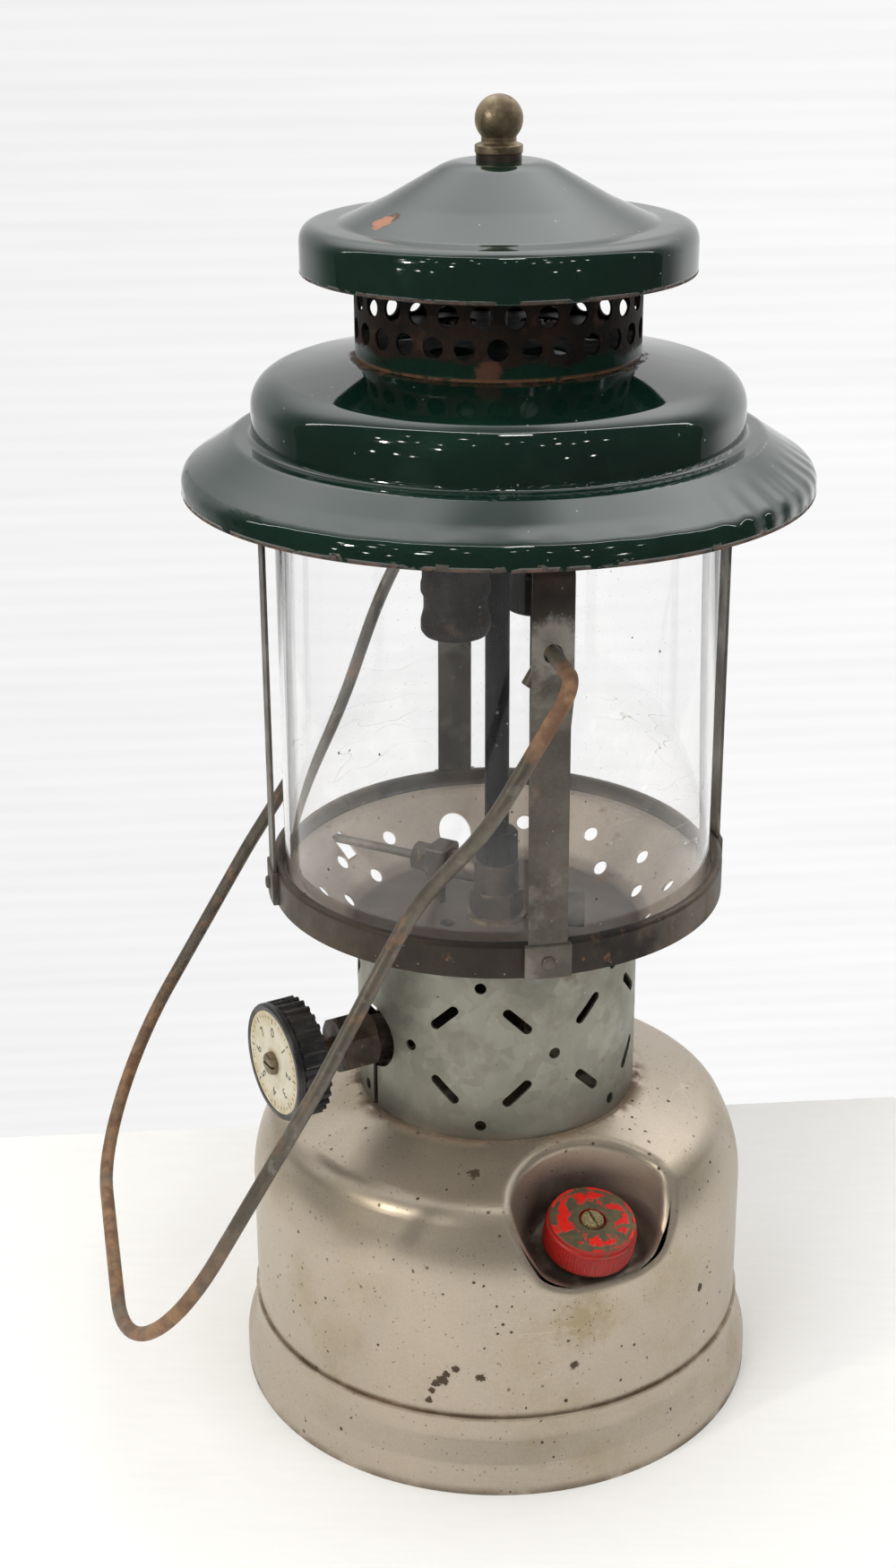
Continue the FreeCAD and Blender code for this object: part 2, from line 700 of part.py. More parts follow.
# ---------------------------------------------------------------- valve
def valve_body():
    """Brass column from the tank to the burner, with the control valve's side arm."""
    neck_z = BODY_TOP_Z - BODY_NECK_DROP
    foot_z = SEAT_Z + BUSHING_RISE
    column = lathe([rz(0, SEAT_Z - BUSHING_DEPTH), rz(SHANK_R, SEAT_Z - BUSHING_DEPTH),
                    rz(SHANK_R, foot_z), rz(BODY_R, foot_z), rz(BODY_R, neck_z),
                    rz(SHANK_R, neck_z + BODY_TAPER), rz(SHANK_R, BODY_TOP_Z),
                    rz(COLUMN_THREAD_R, BODY_TOP_Z), rz(COLUMN_THREAD_R, JAM_NUT_TOP_Z),
                    rz(0, JAM_NUT_TOP_Z)])
    arm = along(disc(ARM_R, 0, ARM_END), VALVE_ANGLE, VALVE_Z)
    stem_bore = along(disc(STEM_R + RUNNING, STEM_TIP, ARM_END), VALVE_ANGLE, VALVE_Z)
    channel = disc(CHANNEL_R, SEAT_Z - BUSHING_DEPTH, JAM_NUT_TOP_Z)
    pickup = disc(PICKUP_R, SEAT_Z - BUSHING_DEPTH, SEAT_Z)
    return column.fuse(arm).cut(stem_bore).cut(channel).cut(pickup)


def fuel_pickup():
    return tube(PICKUP_R, PICKUP_R - PICKUP_WALL, PICKUP_BOTTOM_Z, SEAT_Z)


def packing_nut():
    start, stop = PACKING_NUT_SPAN
    packing_end = ARM_END + PACKING_THICK
    nut = hexagon(PACKING_NUT_AF, start, stop, PACKING_NUT_CHAMFER)
    nut = nut.cut(disc(ARM_R, start, packing_end)).cut(disc(STEM_R + RUNNING, start, stop))
    return along(nut, VALVE_ANGLE, VALVE_Z)


def valve_packing():
    ring = tube(ARM_R, STEM_R + RUNNING, ARM_END, ARM_END + PACKING_THICK)
    return along(ring, VALVE_ANGLE, VALVE_Z)


def valve_stem():
    stem = lathe([rz(0, STEM_TIP), rz(STEM_POINT_R, STEM_TIP), rz(STEM_R, STEM_SEAT),
                  rz(STEM_R, WHEEL_FACE), rz(0, WHEEL_FACE)])
    thread = disc(SCREW_R, WHEEL_FACE - SCREW_DEPTH, WHEEL_FACE)
    return along(stem.cut(thread), VALVE_ANGLE, VALVE_Z)


def valve_wheel():
    """Ribbed hand wheel: a hub, a plate with a recess for the disc, and a deep rim."""
    back, face = WHEEL_SPAN
    rim_in = WHEEL_R - WHEEL_RIM_THICK
    web = (back + face) / 2 + WHEEL_WEB_FORWARD
    wheel = lathe(
        [rz(STEM_R, back), rz(WHEEL_HUB_R, back), rz(WHEEL_HUB_R, web), rz(rim_in, web),
         rz(rim_in, back), rz(WHEEL_R, back), rz(WHEEL_R, face), rz(DISC_R, face),
         rz(DISC_R, WHEEL_FACE), rz(STEM_R, WHEEL_FACE)],
        [0, EDGE, EDGE, EDGE, EDGE, WHEEL_EDGE, WHEEL_EDGE, LOOSE, 0, 0])
    notch_at = V(WHEEL_R + WHEEL_RIB_OUT, 0, back)
    notch = Part.makeCylinder(WHEEL_RIB_R, face - back, notch_at, UP)
    notches = [turned(notch, k * 360.0 / WHEEL_RIBS) for k in range(WHEEL_RIBS)]
    return along(wheel.cut(Part.makeCompound(notches)), VALVE_ANGLE, VALVE_Z)


def direction_disc():
    plate = tube(DISC_R, SCREW_R, WHEEL_FACE, WHEEL_FACE + DISC_THICK)
    return along(plate, VALVE_ANGLE, VALVE_Z)


def wheel_screw():
    base = WHEEL_FACE + DISC_THICK
    top = base + SCREW_HEAD
    head = lathe([rz(0, base), rz(SCREW_HEAD_R, base), rz(SCREW_HEAD_R, top), rz(0, top)],
                 [0, 0, SCREW_DOME, 0])
    shank = disc(SCREW_R, WHEEL_FACE - SCREW_DEPTH, base)
    width, depth = SLOT_CUT
    slot = Part.makeBox(width, 2 * SCREW_HEAD_R, depth, V(-width / 2, -SCREW_HEAD_R, top - depth))
    return along(head.fuse(shank).cut(slot), VALVE_ANGLE, VALVE_Z)


# ---------------------------------------------------------------- collar
def radial_cut(shape, azimuth, z):
    """A cutter made along +Z, laid so that it passes through the collar's wall only."""
    return along(moved(shape, V(0, 0, COLLAR_R / 2)), azimuth, z)


def slot_form(tilt):
    straight = SLOT_LENGTH - SLOT_WIDTH
    bar = Part.makeBox(SLOT_WIDTH, straight, COLLAR_R, V(-SLOT_WIDTH / 2, -straight / 2, 0))
    for side in (-1, 1):
        end = Part.makeCylinder(SLOT_WIDTH / 2, COLLAR_R, V(0, side * straight / 2, 0), UP)
        bar = bar.fuse(end)
    bar = bar.removeSplitter()
    bar.rotate(V(0, 0, 0), UP, tilt)
    return bar


def collar():
    """Perforated sleeve, split under the valve so that it drops over the side arm."""
    wall = tube(COLLAR_R, COLLAR_R - SHEET, SEAT_Z, COLLAR_TOP_Z)
    middle = (SEAT_Z + COLLAR_TOP_Z) / 2
    end_rows = (SEAT_Z + END_HOLE_INSET, COLLAR_TOP_Z - END_HOLE_INSET)
    hole = disc(HOLE_R, 0, COLLAR_R)
    cuts = []
    for k in range(PATTERN_COUNT):
        azimuth = PATTERN_START + k * 360.0 / PATTERN_COUNT
        for z in end_rows:
            cuts.append(radial_cut(hole, azimuth, z))
        cuts.append(radial_cut(hole, azimuth + 180.0 / PATTERN_COUNT, middle))
        for side in (-1, 1):
            for row in (-1, 1):
                at = azimuth + side * SLOT_OFFSET
                z = middle + row * SLOT_ROW_OFFSET
                if not near_valve(at, z):
                    cuts.append(radial_cut(slot_form(side * row * SLOT_TILT), at, z))
    cuts.append(radial_cut(disc(VALVE_HOLE_R, 0, COLLAR_R), VALVE_ANGLE, VALVE_Z))
    split = Part.makeBox(VALVE_Z - SEAT_Z, SPLIT_WIDTH, COLLAR_R, V(0, -SPLIT_WIDTH / 2, 0))
    cuts.append(radial_cut(split, VALVE_ANGLE, VALVE_Z))
    return wall.cut(Part.makeCompound(cuts))


def near_valve(azimuth, z):
    """True where a slot would run into the valve's hole."""
    turn = (azimuth - VALVE_ANGLE + 180.0) % 360.0 - 180.0
    across = math.radians(turn) * COLLAR_R
    return math.hypot(across, z - VALVE_Z) < VALVE_HOLE_R + SLOT_LENGTH


# ---------------------------------------------------------------- pan
def cone_r(z):
    """Radius of the pan's sloping floor at this height of its upper face."""
    return COLLAR_R + (z - PAN_TOP_Z) * (LEDGE_R - COLLAR_R) / LEDGE_RISE


def pan():
    """Pressed pan: disc on the collar, cone, ledge for the globe, hemmed rim."""
    path = [rz(PAN_HOLE_R, COLLAR_TOP_Z), rz(COLLAR_R, COLLAR_TOP_Z),
            rz(LEDGE_R, LEDGE_Z), rz(PAN_WALL_R, LEDGE_Z), rz(PAN_WALL_R, RIM_Z),
            rz(PAN_RIM_R - SHEET, RIM_Z), rz(PAN_RIM_R - SHEET, HEM_Z)]
    radii = [0, PAN_BEND_R, PAN_BEND_R, HEM_BEND_R, HEM_BEND_R, HEM_BEND_R, 0]
    body = sheet(path, radii, SHEET)
    cuts = []
    for r, azimuth in DISC_HOLES:
        hole = disc(VENT_R, COLLAR_TOP_Z - CUT_OVER, PAN_TOP_Z + CUT_OVER)
        cuts.append(moved(hole, polar(r, azimuth)))
    long_r, wide_r = LIGHTING_HOLE
    oval = Part.Ellipse(V(0, 0, -VENT_CUT), long_r, wide_r).toShape()
    oval = Part.Face(Part.Wire(oval)).extrude(V(0, 0, 2 * VENT_CUT))
    step = 360.0 / VENTS_PER_ROW
    for row, (start, rise) in enumerate(VENT_ROWS):
        for k in range(VENTS_PER_ROW):
            if (row, k) == (1, LIGHTING_VENT):
                cuts.append(cone_cut(oval, start + k * step, LIGHTING_RISE))
            else:
                hole = disc(VENT_R, -VENT_CUT, VENT_CUT)
                cuts.append(cone_cut(hole, start + k * step, rise))
    notch = Part.makeBox(PAN_RIM_R, 4 * LEVER_R, 5 * LEVER_R,
                         V(COLLAR_R + LEVER_R, -2 * LEVER_R, CLEANER_Z - 4 * LEVER_R))
    below_ledge = disc(PAN_RIM_R + CUT_OVER, 0, LEDGE_Z)
    cuts.append(turned(notch.common(below_ledge), CLEANER_ANGLE))
    return body.cut(Part.makeCompound(cuts))


def cone_cut(shape, azimuth, rise):
    """A cutter made along +Z, set square to the cone at this rise above the disc."""
    cut = shape.copy()
    cut.rotate(V(0, 0, 0), V(0, 1, 0), -math.degrees(math.atan2(LEDGE_RISE, LEDGE_R - COLLAR_R)))
    cut.translate(V(cone_r(PAN_TOP_Z + rise), 0, PAN_TOP_Z + rise))
    return turned(cut, azimuth)


# ---------------------------------------------------------------- cage
def strip_angle(width):
    return math.degrees(width / STRIP_R)


def sector(shape, azimuth, width):
    """A piece turned through a width's angle from y = 0, centred on this azimuth."""
    return turned(shape, azimuth - strip_angle(width) / 2)


def cage_strip(name):
    """Flat upright from the pan's hem to the top ring; two of them carry a raised ear."""
    azimuth = STRIP_ANGLES[name]
    pivot = BAIL_PIVOT_Z
    raised = STRIP_R + EAR_RAISE
    path = [rz(STRIP_R, STRIP_TOP_Z), rz(STRIP_R, HEM_Z)]
    radii = [0, 0]
    if name in EAR_STRIPS:
        path[1:1] = [rz(STRIP_R, pivot + EAR_ABOVE + EAR_FOLD), rz(raised, pivot + EAR_ABOVE),
                     rz(raised, pivot - EAR_BELOW), rz(STRIP_R, pivot - EAR_BELOW - EAR_FOLD)]
        radii[1:1] = [EAR_BEND_R] * 4
    strip = sheet(path, radii, SHEET, strip_angle(STRIP_WIDTH))
    strip = sector(strip, azimuth, STRIP_WIDTH)
    strip = strip.fuse(strip_foot(azimuth)).removeSplitter()
    if name in EAR_STRIPS:
        hole = disc(EAR_HOLE_R, STRIP_R, STRIP_R + 3 * EAR_RAISE)
        strip = strip.cut(along(hole, azimuth, pivot))
    return strip


def strip_foot(azimuth):
    """Wider, thicker lug at the bottom of an upright."""
    out = STRIP_OUT_R + FOOT_THICK
    top = RIM_Z + SHEET / 2
    lug = lathe([rz(STRIP_R, HEM_Z), rz(out, HEM_Z), rz(out, top), rz(STRIP_R, top)],
                [0, EDGE, EDGE, 0], strip_angle(FOOT_WIDTH))
    return sector(lug, azimuth, FOOT_WIDTH)


def cage_ring():
    """Angle ring inside the uprights' tops; the hat rests on its flange."""
    inside = STRIP_R - SHEET
    return lathe([rz(inside, STRIP_TOP_Z - RING_BAND), rz(STRIP_R, STRIP_TOP_Z - RING_BAND),
                  rz(STRIP_R, STRIP_TOP_Z), rz(RING_FLANGE_R, STRIP_TOP_Z),
                  rz(RING_FLANGE_R, HAT_SEAT_Z), rz(inside, HAT_SEAT_Z)])


def cage_rivets():
    """Rivet heads at the feet and tops of the uprights."""
    heads = []
    foot_face = STRIP_OUT_R + FOOT_THICK
    foot_z = (HEM_Z + RIM_Z) / 2
    top_z = STRIP_TOP_Z - RING_BAND / 2
    for azimuth in STRIP_ANGLES.values():
        for face, z in ((foot_face, foot_z), (STRIP_OUT_R, top_z)):
            head = lathe([rz(0, face - RIVET_HEAD), rz(RIVET_R, face - RIVET_HEAD),
                          rz(RIVET_R, face + RIVET_HEAD), rz(0, face + RIVET_HEAD)],
                         [0, 0, RIVET_HEAD * FULL_EDGE, 0])
            backing = disc(face, z - 2 * RIVET_R, z + 2 * RIVET_R)
            heads.append(along(head, azimuth, z).cut(backing))
    return Part.makeCompound(heads)


# ---------------------------------------------------------------- globe
def globe():
    inside = GLOBE_R - GLOBE_WALL
    top = GLOBE_Z + GLOBE_HEIGHT
    return lathe([rz(inside, GLOBE_Z), rz(GLOBE_R, GLOBE_Z), rz(GLOBE_R, top), rz(inside, top)],
                 [GLOBE_EDGE] * 4)


# ---------------------------------------------------------------- ventilator
def hat():
    """Enamelled hat: sloping brim, flat valley on the cage ring, dome and neck flange."""
    slope_run = BRIM_ROLL_Z / math.tan(math.radians(BRIM_SLOPE))
    path = [rz(BRIM_R, VALLEY_Z - BRIM_DROP), rz(BRIM_R, VALLEY_Z - BRIM_ROLL_Z),
            rz(BRIM_R - slope_run, VALLEY_Z), rz(DOME_R, VALLEY_Z), rz(DOME_R, DOME_Z),
            rz(BAND_IN_R, NECK_Z), rz(BAND_IN_R, NECK_TOP_Z)]
    return sheet(path, [0, BRIM_ROLL_R, BRIM_ROOT_R, DOME_ROOT_R, DOME_ROUND, 0, 0], ENAMEL)


def vent_band():
    """Perforated neck, flanged outwards under the cap."""
    lip_r = CAP_FLAT_R + LIP_WIDTH
    lip = BAND_TOP_Z - SHEET
    wall = lathe([rz(BAND_IN_R, NECK_Z), rz(BAND_R, NECK_Z), rz(BAND_R, lip), rz(lip_r, lip),
                  rz(lip_r, BAND_TOP_Z), rz(BAND_IN_R, BAND_TOP_Z)])
    cuts = []
    step = 360.0 / BAND_HOLES
    hole = disc(BAND_HOLE_R, BAND_R / 2, CAP_FLAT_R)
    for row, rise in enumerate(BAND_ROWS):
        for k in range(BAND_HOLES):
            cuts.append(along(hole, (k + row / 2.0) * step, NECK_Z + rise))
    return wall.cut(Part.makeCompound(cuts))


def vent_cap():
    """Enamelled cap: turned-down rim, flat ring and conical crown with the stud's hole."""
    path = [rz(CAP_R, CAP_FLAT_Z - CAP_SKIRT), rz(CAP_R, CAP_FLAT_Z), rz(CAP_FLAT_R, CAP_FLAT_Z),
            rz(CROWN_R, CROWN_Z), rz(STUD_HOLE_R, CROWN_Z)]
    return sheet(path, [0, CAP_ROUND, CAP_ROOT_R, CROWN_ROUND, 0], ENAMEL)


def heat_baffle():
    """Disc inside the band that keeps the flame's heat off the cap."""
    plate = disc(BAND_IN_R - RUNNING, NECK_TOP_Z, NECK_TOP_Z + SHEET)
    cuts = [disc(BAFFLE_HOLE_R, NECK_TOP_Z, NECK_TOP_Z + SHEET)]
    for k in range(BAFFLE_SLOTS):
        vent = disc(BAFFLE_SLOT_R, NECK_TOP_Z, NECK_TOP_Z + SHEET)
        cuts.append(moved(vent, polar(BAFFLE_SLOT_AT, k * 360.0 / BAFFLE_SLOTS)))
    return plate.cut(Part.makeCompound(cuts))


def cap_washer():
    return tube(WASHER_R, STUD_HOLE_R, CROWN_Z, CROWN_Z + WASHER_THICK)


def ball_nut():
    """Turned brass nut: flange, neck and ball, tapped from below."""
    base = CROWN_Z + WASHER_THICK
    centre = base + BALL_RISE
    flange_z = base + NUT_FLANGE
    body = lathe([rz(0, base), rz(NUT_FLANGE_R, base), rz(NUT_FLANGE_R, flange_z),
                  rz(NUT_NECK_R, flange_z + NUT_STEP), rz(NUT_NECK_R, centre), rz(0, centre)],
                 [0, EDGE, EDGE, EDGE, 0, 0])
    ball = Part.makeSphere(BALL_R, V(0, 0, centre))
    bore = disc(STUD_HOLE_R, base, STUD_TOP_Z + LOOSE)
    return body.fuse(ball).cut(bore)


def center_stud():
    return disc(STUD_R, MANIFOLD_TOP_Z, STUD_TOP_Z)


# ---------------------------------------------------------------- burner
def generator_washer():
    return tube(GEN_WASHER_R, COLUMN_THREAD_R, BODY_TOP_Z, NUT_BASE_Z)


def jam_nut():
    nut = hexagon(JAM_NUT_AF, NUT_BASE_Z, JAM_NUT_TOP_Z, JAM_NUT_CHAMFER)
    return nut.cut(disc(COLUMN_THREAD_R, NUT_BASE_Z, JAM_NUT_TOP_Z))


def cleaner_body():
    """Brass block on the column that carries the cleaning lever and its needle."""
    column = disc(CLEANER_BODY_R, JAM_NUT_TOP_Z, CLEANER_BODY_TOP_Z)
    arm = along(disc(CLEANER_ARM_R, 0, CLEANER_ARM_END), CLEANER_ANGLE, CLEANER_Z)
    length, width, height = CLEANER_BLOCK
    block = Part.makeBox(length, width, height,
                         V(CLEANER_ARM_END, -width / 2, CLEANER_Z - height / 2))
    block = block.makeFillet(CLEANER_BLOCK_EDGE, block.Edges)
    leg_at = CLEANER_ARM_END + length / 2
    leg = Part.makeCylinder(CLEANER_LEG_R, CLEANER_Z - PAN_TOP_Z, V(leg_at, 0, PAN_TOP_Z), UP)
    body = column.fuse([arm, turned(block, CLEANER_ANGLE), turned(leg, CLEANER_ANGLE)])
    lever_bore = disc(LEVER_R + RUNNING, 0, CLEANER_ARM_END + length)
    lever_bore = along(lever_bore, CLEANER_ANGLE, CLEANER_Z)
    needle_bore = disc(GENERATOR_BORE, JAM_NUT_TOP_Z, CLEANER_BODY_TOP_Z)
    return body.cut(lever_bore).cut(needle_bore)


def cleaner_nut():
    start = CLEANER_ARM_END + CLEANER_BLOCK[0]
    stop = start + CLEANER_NUT
    nut = hexagon(CLEANER_NUT_AF, start, stop)
    return along(nut.cut(disc(LEVER_R + RUNNING, start, stop)), CLEANER_ANGLE, CLEANER_Z)


def cleaner_lever():
    """Wire lever from the needle out under the globe's ledge, ending in a crank."""
    points = [rz(LEVER_START, 0), rz(LEVER_END, 0), rz(LEVER_END, -LEVER_CRANK)]
    rod = bent_rod(points, [0, LEVER_BEND_R, 0], LEVER_R)
    return moved(turned(rod, CLEANER_ANGLE), V(0, 0, CLEANER_Z))


def generator_sleeve():
    nut = hexagon(SLEEVE_AF, CLEANER_BODY_TOP_Z, SLEEVE_TOP_Z)
    return nut.cut(disc(GENERATOR_R, CLEANER_BODY_TOP_Z, SLEEVE_TOP_Z))


def generator_tube():
    return tube(GENERATOR_R, GENERATOR_BORE, CLEANER_BODY_TOP_Z, GENERATOR_TOP_Z)


def gas_tip():
    top = GENERATOR_TOP_Z + TIP_BELOW + TIP_ABOVE
    return lathe([rz(ORIFICE_R, GENERATOR_TOP_Z), rz(TIP_R, GENERATOR_TOP_Z),
                  rz(TIP_R, top - TIP_TAPER), rz(TIP_END_R, top), rz(ORIFICE_R, top)])


def cleaning_needle():
    shoulder = GENERATOR_TOP_Z - NEEDLE_WIRE / 2
    foot = CLEANER_Z - NEEDLE_BELOW
    return lathe([rz(0, foot), rz(NEEDLE_R, foot), rz(NEEDLE_R, shoulder - NEEDLE_TAPER),
                  rz(NEEDLE_WIRE_R, shoulder), rz(NEEDLE_WIRE_R, shoulder + NEEDLE_WIRE),
                  rz(0, shoulder + NEEDLE_WIRE)])


def mantle_cap_places():
    return [polar(MANTLE_CAP_AT, MANTLE_CAP_ANGLE + 180.0 * side) for side in (1, 0)]


def mixing_chamber():
    """Hollow casting over the burner caps, the air tube and the generator's jet."""
    caps = mantle_cap_places()
    air = V(AIR_TUBE_AT[0], AIR_TUBE_AT[1], 0)
    cap_r = MANTLE_CAP_R + MANIFOLD_MARGIN
    air_r = AIR_TUBE_R + MANIFOLD_MARGIN

    def form(shrink, z0, z1):
        shape = bar(caps[0], caps[1], cap_r - shrink, z0, z1)
        return shape.fuse(bar(V(0, 0, 0), air, air_r - shrink, z0, z1)).removeSplitter()

    outside = form(0, MANIFOLD_Z, MANIFOLD_TOP_Z)
    inside = form(MANIFOLD_WALL, MANIFOLD_Z + MANIFOLD_WALL, MANIFOLD_TOP_Z - MANIFOLD_WALL)
    floor = MANIFOLD_Z + MANIFOLD_WALL
    ports = [moved(disc(MANTLE_CAP_R - PORT_MARGIN, MANIFOLD_Z, floor), place)
             for place in caps]
    ports.append(moved(disc(AIR_TUBE_R - AIR_TUBE_WALL, MANIFOLD_Z, floor), air))
    ports.append(disc(TIP_R, MANIFOLD_Z, floor))
    return outside.cut(inside).cut(Part.makeCompound(ports))


def bar(start, stop, r, z0, z1):
    """An upright-sided bar with round ends, between two places in plan."""
    run = unit(stop - start)
    side = V(-run.y, run.x, 0) * r
    base = V(0, 0, z0)
    corners = [start + side, start - side, stop - side, stop + side, start + side]
    middle = Part.Face(Part.makePolygon([point + base for point in corners]))
    middle = middle.extrude(V(0, 0, z1 - z0))
    ends = [moved(disc(r, z0, z1), start), moved(disc(r, z0, z1), stop)]
    return middle.fuse(ends).removeSplitter()


def mantle_cap(place):
    """Burner cap: tube with a bead and a flared lip at its mouth."""
    lip = MANTLE_CAP_R
    waist = lip - MANTLE_CAP_WAIST
    neck = lip - MANTLE_CAP_NECK
    z = MANTLE_CAP_Z
    lip_z, lip_top = MANTLE_CAP_LIP
    waist_z, waist_top = MANTLE_CAP_GROOVE
    bead_z, bead_top = MANTLE_CAP_BEAD
    path = [rz(lip - MANTLE_CAP_MOUTH, z), rz(lip, z + lip_z), rz(lip, z + lip_top),
            rz(waist, z + waist_z), rz(waist, z + waist_top), rz(lip, z + bead_z),
            rz(lip, z + bead_top), rz(neck, z + MANTLE_CAP_NECK_RISE), rz(neck, MANIFOLD_Z)]
    bend = MANTLE_CAP_BEND_R
    radii = [0, bend, bend, MANTLE_CAP_WAIST_R, MANTLE_CAP_WAIST_R, bend, bend, bend, 0]
    cap = sheet(path, radii, MANTLE_CAP_WALL)
    return moved(cap, place)


def burner_screen(place):
    """Gauze disc that seats in the waist of a burner cap."""
    r = MANTLE_CAP_R - MANTLE_CAP_WAIST - MANTLE_CAP_WALL
    base = MANTLE_CAP_Z + MANTLE_CAP_GROOVE[0] + SCREEN_INSET - SCREEN_THICK
    return moved(disc(r, base, base + SCREEN_THICK), place)


def air_tube():
    """Air tube from its mouth beside the column up to the mixing chamber."""
    x, y = AIR_TUBE_AT
    points = [V(x, y, MANIFOLD_Z), V(x, y, AIR_ELBOW_Z), V(AIR_MOUTH_X, y, AIR_ELBOW_Z)]
    radii = [0, AIR_BEND_R, 0]
    bore = AIR_TUBE_R - AIR_TUBE_WALL
    return bent_rod(points, radii, AIR_TUBE_R).cut(bent_rod(points, radii, bore))


# ---------------------------------------------------------------- bail
def bail():
    """One wire loop hooked through the two ears, lying to the side below level."""
    out = polar(1, STRIP_ANGLES["front"])
    aside = polar(1, STRIP_ANGLES["left"])
    drop = math.radians(BAIL_REST_DROP)
    down = aside * math.cos(drop) - UP * math.sin(drop)
    hook_r = GLOBE_R + LOOSE + WIRE_R + LOOSE

    def at(across, along_leg):
        return V(0, 0, BAIL_PIVOT_Z) + out * across + down * along_leg

    half = [(hook_r, BAIL_HOOK), (hook_r, 0), (BAIL_REACH, 0), (BAIL_REACH, BAIL_STRAIGHT),
            BAIL_KINK, BAIL_HIP, (BAIL_HIP[0], BAIL_LENGTH)]
    bends = [0, BAIL_HOOK_R, BAIL_BEND_R, BAIL_SHOULDER_R, BAIL_KINK_R, BAIL_HIP_R,
             BAIL_CORNER_R]
    points = [at(across, leg) for across, leg in half]
    points += [at(-across, leg) for across, leg in reversed(half)]
    return bent_rod(points, bends + bends[::-1], WIRE_R)


# ---------------------------------------------------------------- all pieces
def main():
    os.makedirs("parts", exist_ok=True)
    pieces = {
        "tank_shell": tank_shell, "tank_bottom": tank_bottom, "base_skirt": base_skirt,
        "tank_bushing": tank_bushing,
        "filler_neck": filler_neck, "filler_gasket": filler_gasket,
        "filler_insert": filler_insert, "filler_cap": filler_cap, "filler_screw": filler_screw,
        "pump_barrel": pump_barrel, "pump_check_valve": pump_check_valve, "pump_cap": pump_cap,
        "pump_rod": pump_rod, "pump_leather": pump_leather,
        "pump_leather_nut": pump_leather_nut, "pump_knob": pump_knob,
        "valve_body": valve_body, "fuel_pickup": fuel_pickup, "packing_nut": packing_nut,
        "valve_packing": valve_packing, "valve_stem": valve_stem, "valve_wheel": valve_wheel,
        "direction_disc": direction_disc, "wheel_screw": wheel_screw,
        "collar": collar, "pan": pan, "cage_ring": cage_ring, "cage_rivets": cage_rivets,
        "globe": globe,
        "hat": hat, "vent_band": vent_band, "vent_cap": vent_cap, "heat_baffle": heat_baffle,
        "cap_washer": cap_washer, "ball_nut": ball_nut, "center_stud": center_stud,
        "generator_washer": generator_washer, "jam_nut": jam_nut,
        "cleaner_body": cleaner_body, "cleaner_nut": cleaner_nut, "cleaner_lever": cleaner_lever,
        "generator_sleeve": generator_sleeve, "generator_tube": generator_tube,
        "gas_tip": gas_tip, "cleaning_needle": cleaning_needle,
        "mixing_chamber": mixing_chamber, "air_tube": air_tube, "bail": bail,
    }
    for name, make in pieces.items():
        save(name, make())
    for name in STRIP_ANGLES:
        save("cage_strip_" + name, cage_strip(name))
    for side, place in zip(("left", "right"), mantle_cap_places()):
        save("mantle_cap_" + side, mantle_cap(place))
        save("burner_screen_" + side, burner_screen(place))


main()
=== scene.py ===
"""Looks of the pressure lantern: finishes for its solids, and the fine pieces made here.

Metres, +Z up, the origin in the middle of the foot; -Y is the filler's side.
"""
import math

import bmesh
import bpy
from mathutils import Matrix, Vector


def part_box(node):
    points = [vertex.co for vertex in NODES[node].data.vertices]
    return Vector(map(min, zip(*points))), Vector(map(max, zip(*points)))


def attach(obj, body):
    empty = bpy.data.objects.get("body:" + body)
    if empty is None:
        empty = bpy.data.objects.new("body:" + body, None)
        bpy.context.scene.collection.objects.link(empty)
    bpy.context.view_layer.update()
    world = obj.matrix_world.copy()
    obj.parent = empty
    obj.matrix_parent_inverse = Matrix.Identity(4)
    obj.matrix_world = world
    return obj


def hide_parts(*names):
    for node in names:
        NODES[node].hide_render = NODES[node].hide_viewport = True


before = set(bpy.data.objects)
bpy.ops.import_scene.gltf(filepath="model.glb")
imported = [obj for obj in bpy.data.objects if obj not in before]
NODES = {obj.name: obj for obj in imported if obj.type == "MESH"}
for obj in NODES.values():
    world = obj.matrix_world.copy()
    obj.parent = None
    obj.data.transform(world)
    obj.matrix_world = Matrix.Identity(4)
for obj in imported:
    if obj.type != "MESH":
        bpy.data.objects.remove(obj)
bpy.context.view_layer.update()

MM = 0.001
FOUNT_R = 0.0743
BAIL_PIVOT_Z = 0.252
BAIL_REACH = 0.091
EAR_R = 0.068
EARS_TURN = 282.0
VALVE_TURN = 211.0
VALVE_Z = 0.119
WHEEL_FACE = 0.0735
FILLER_TURN = 295.5
FILLER_TILT = 16.0
FILLER_FLOOR = (0.0606, 0.069)
FILLER_AXIS = (0.118667, -0.248789, 0.961262)


def polar(radius, degrees, height=0.0):
    angle = math.radians(degrees)
    return Vector((radius * math.cos(angle), radius * math.sin(angle), height))


# ---------------------------------------------------------------- node trees
MEASURES = ("DISTANCE", "LENGTH", "DOT_PRODUCT")
VECTOR_SOCKETS = ("Vector", "Center", "Stretch", "Wrapped")


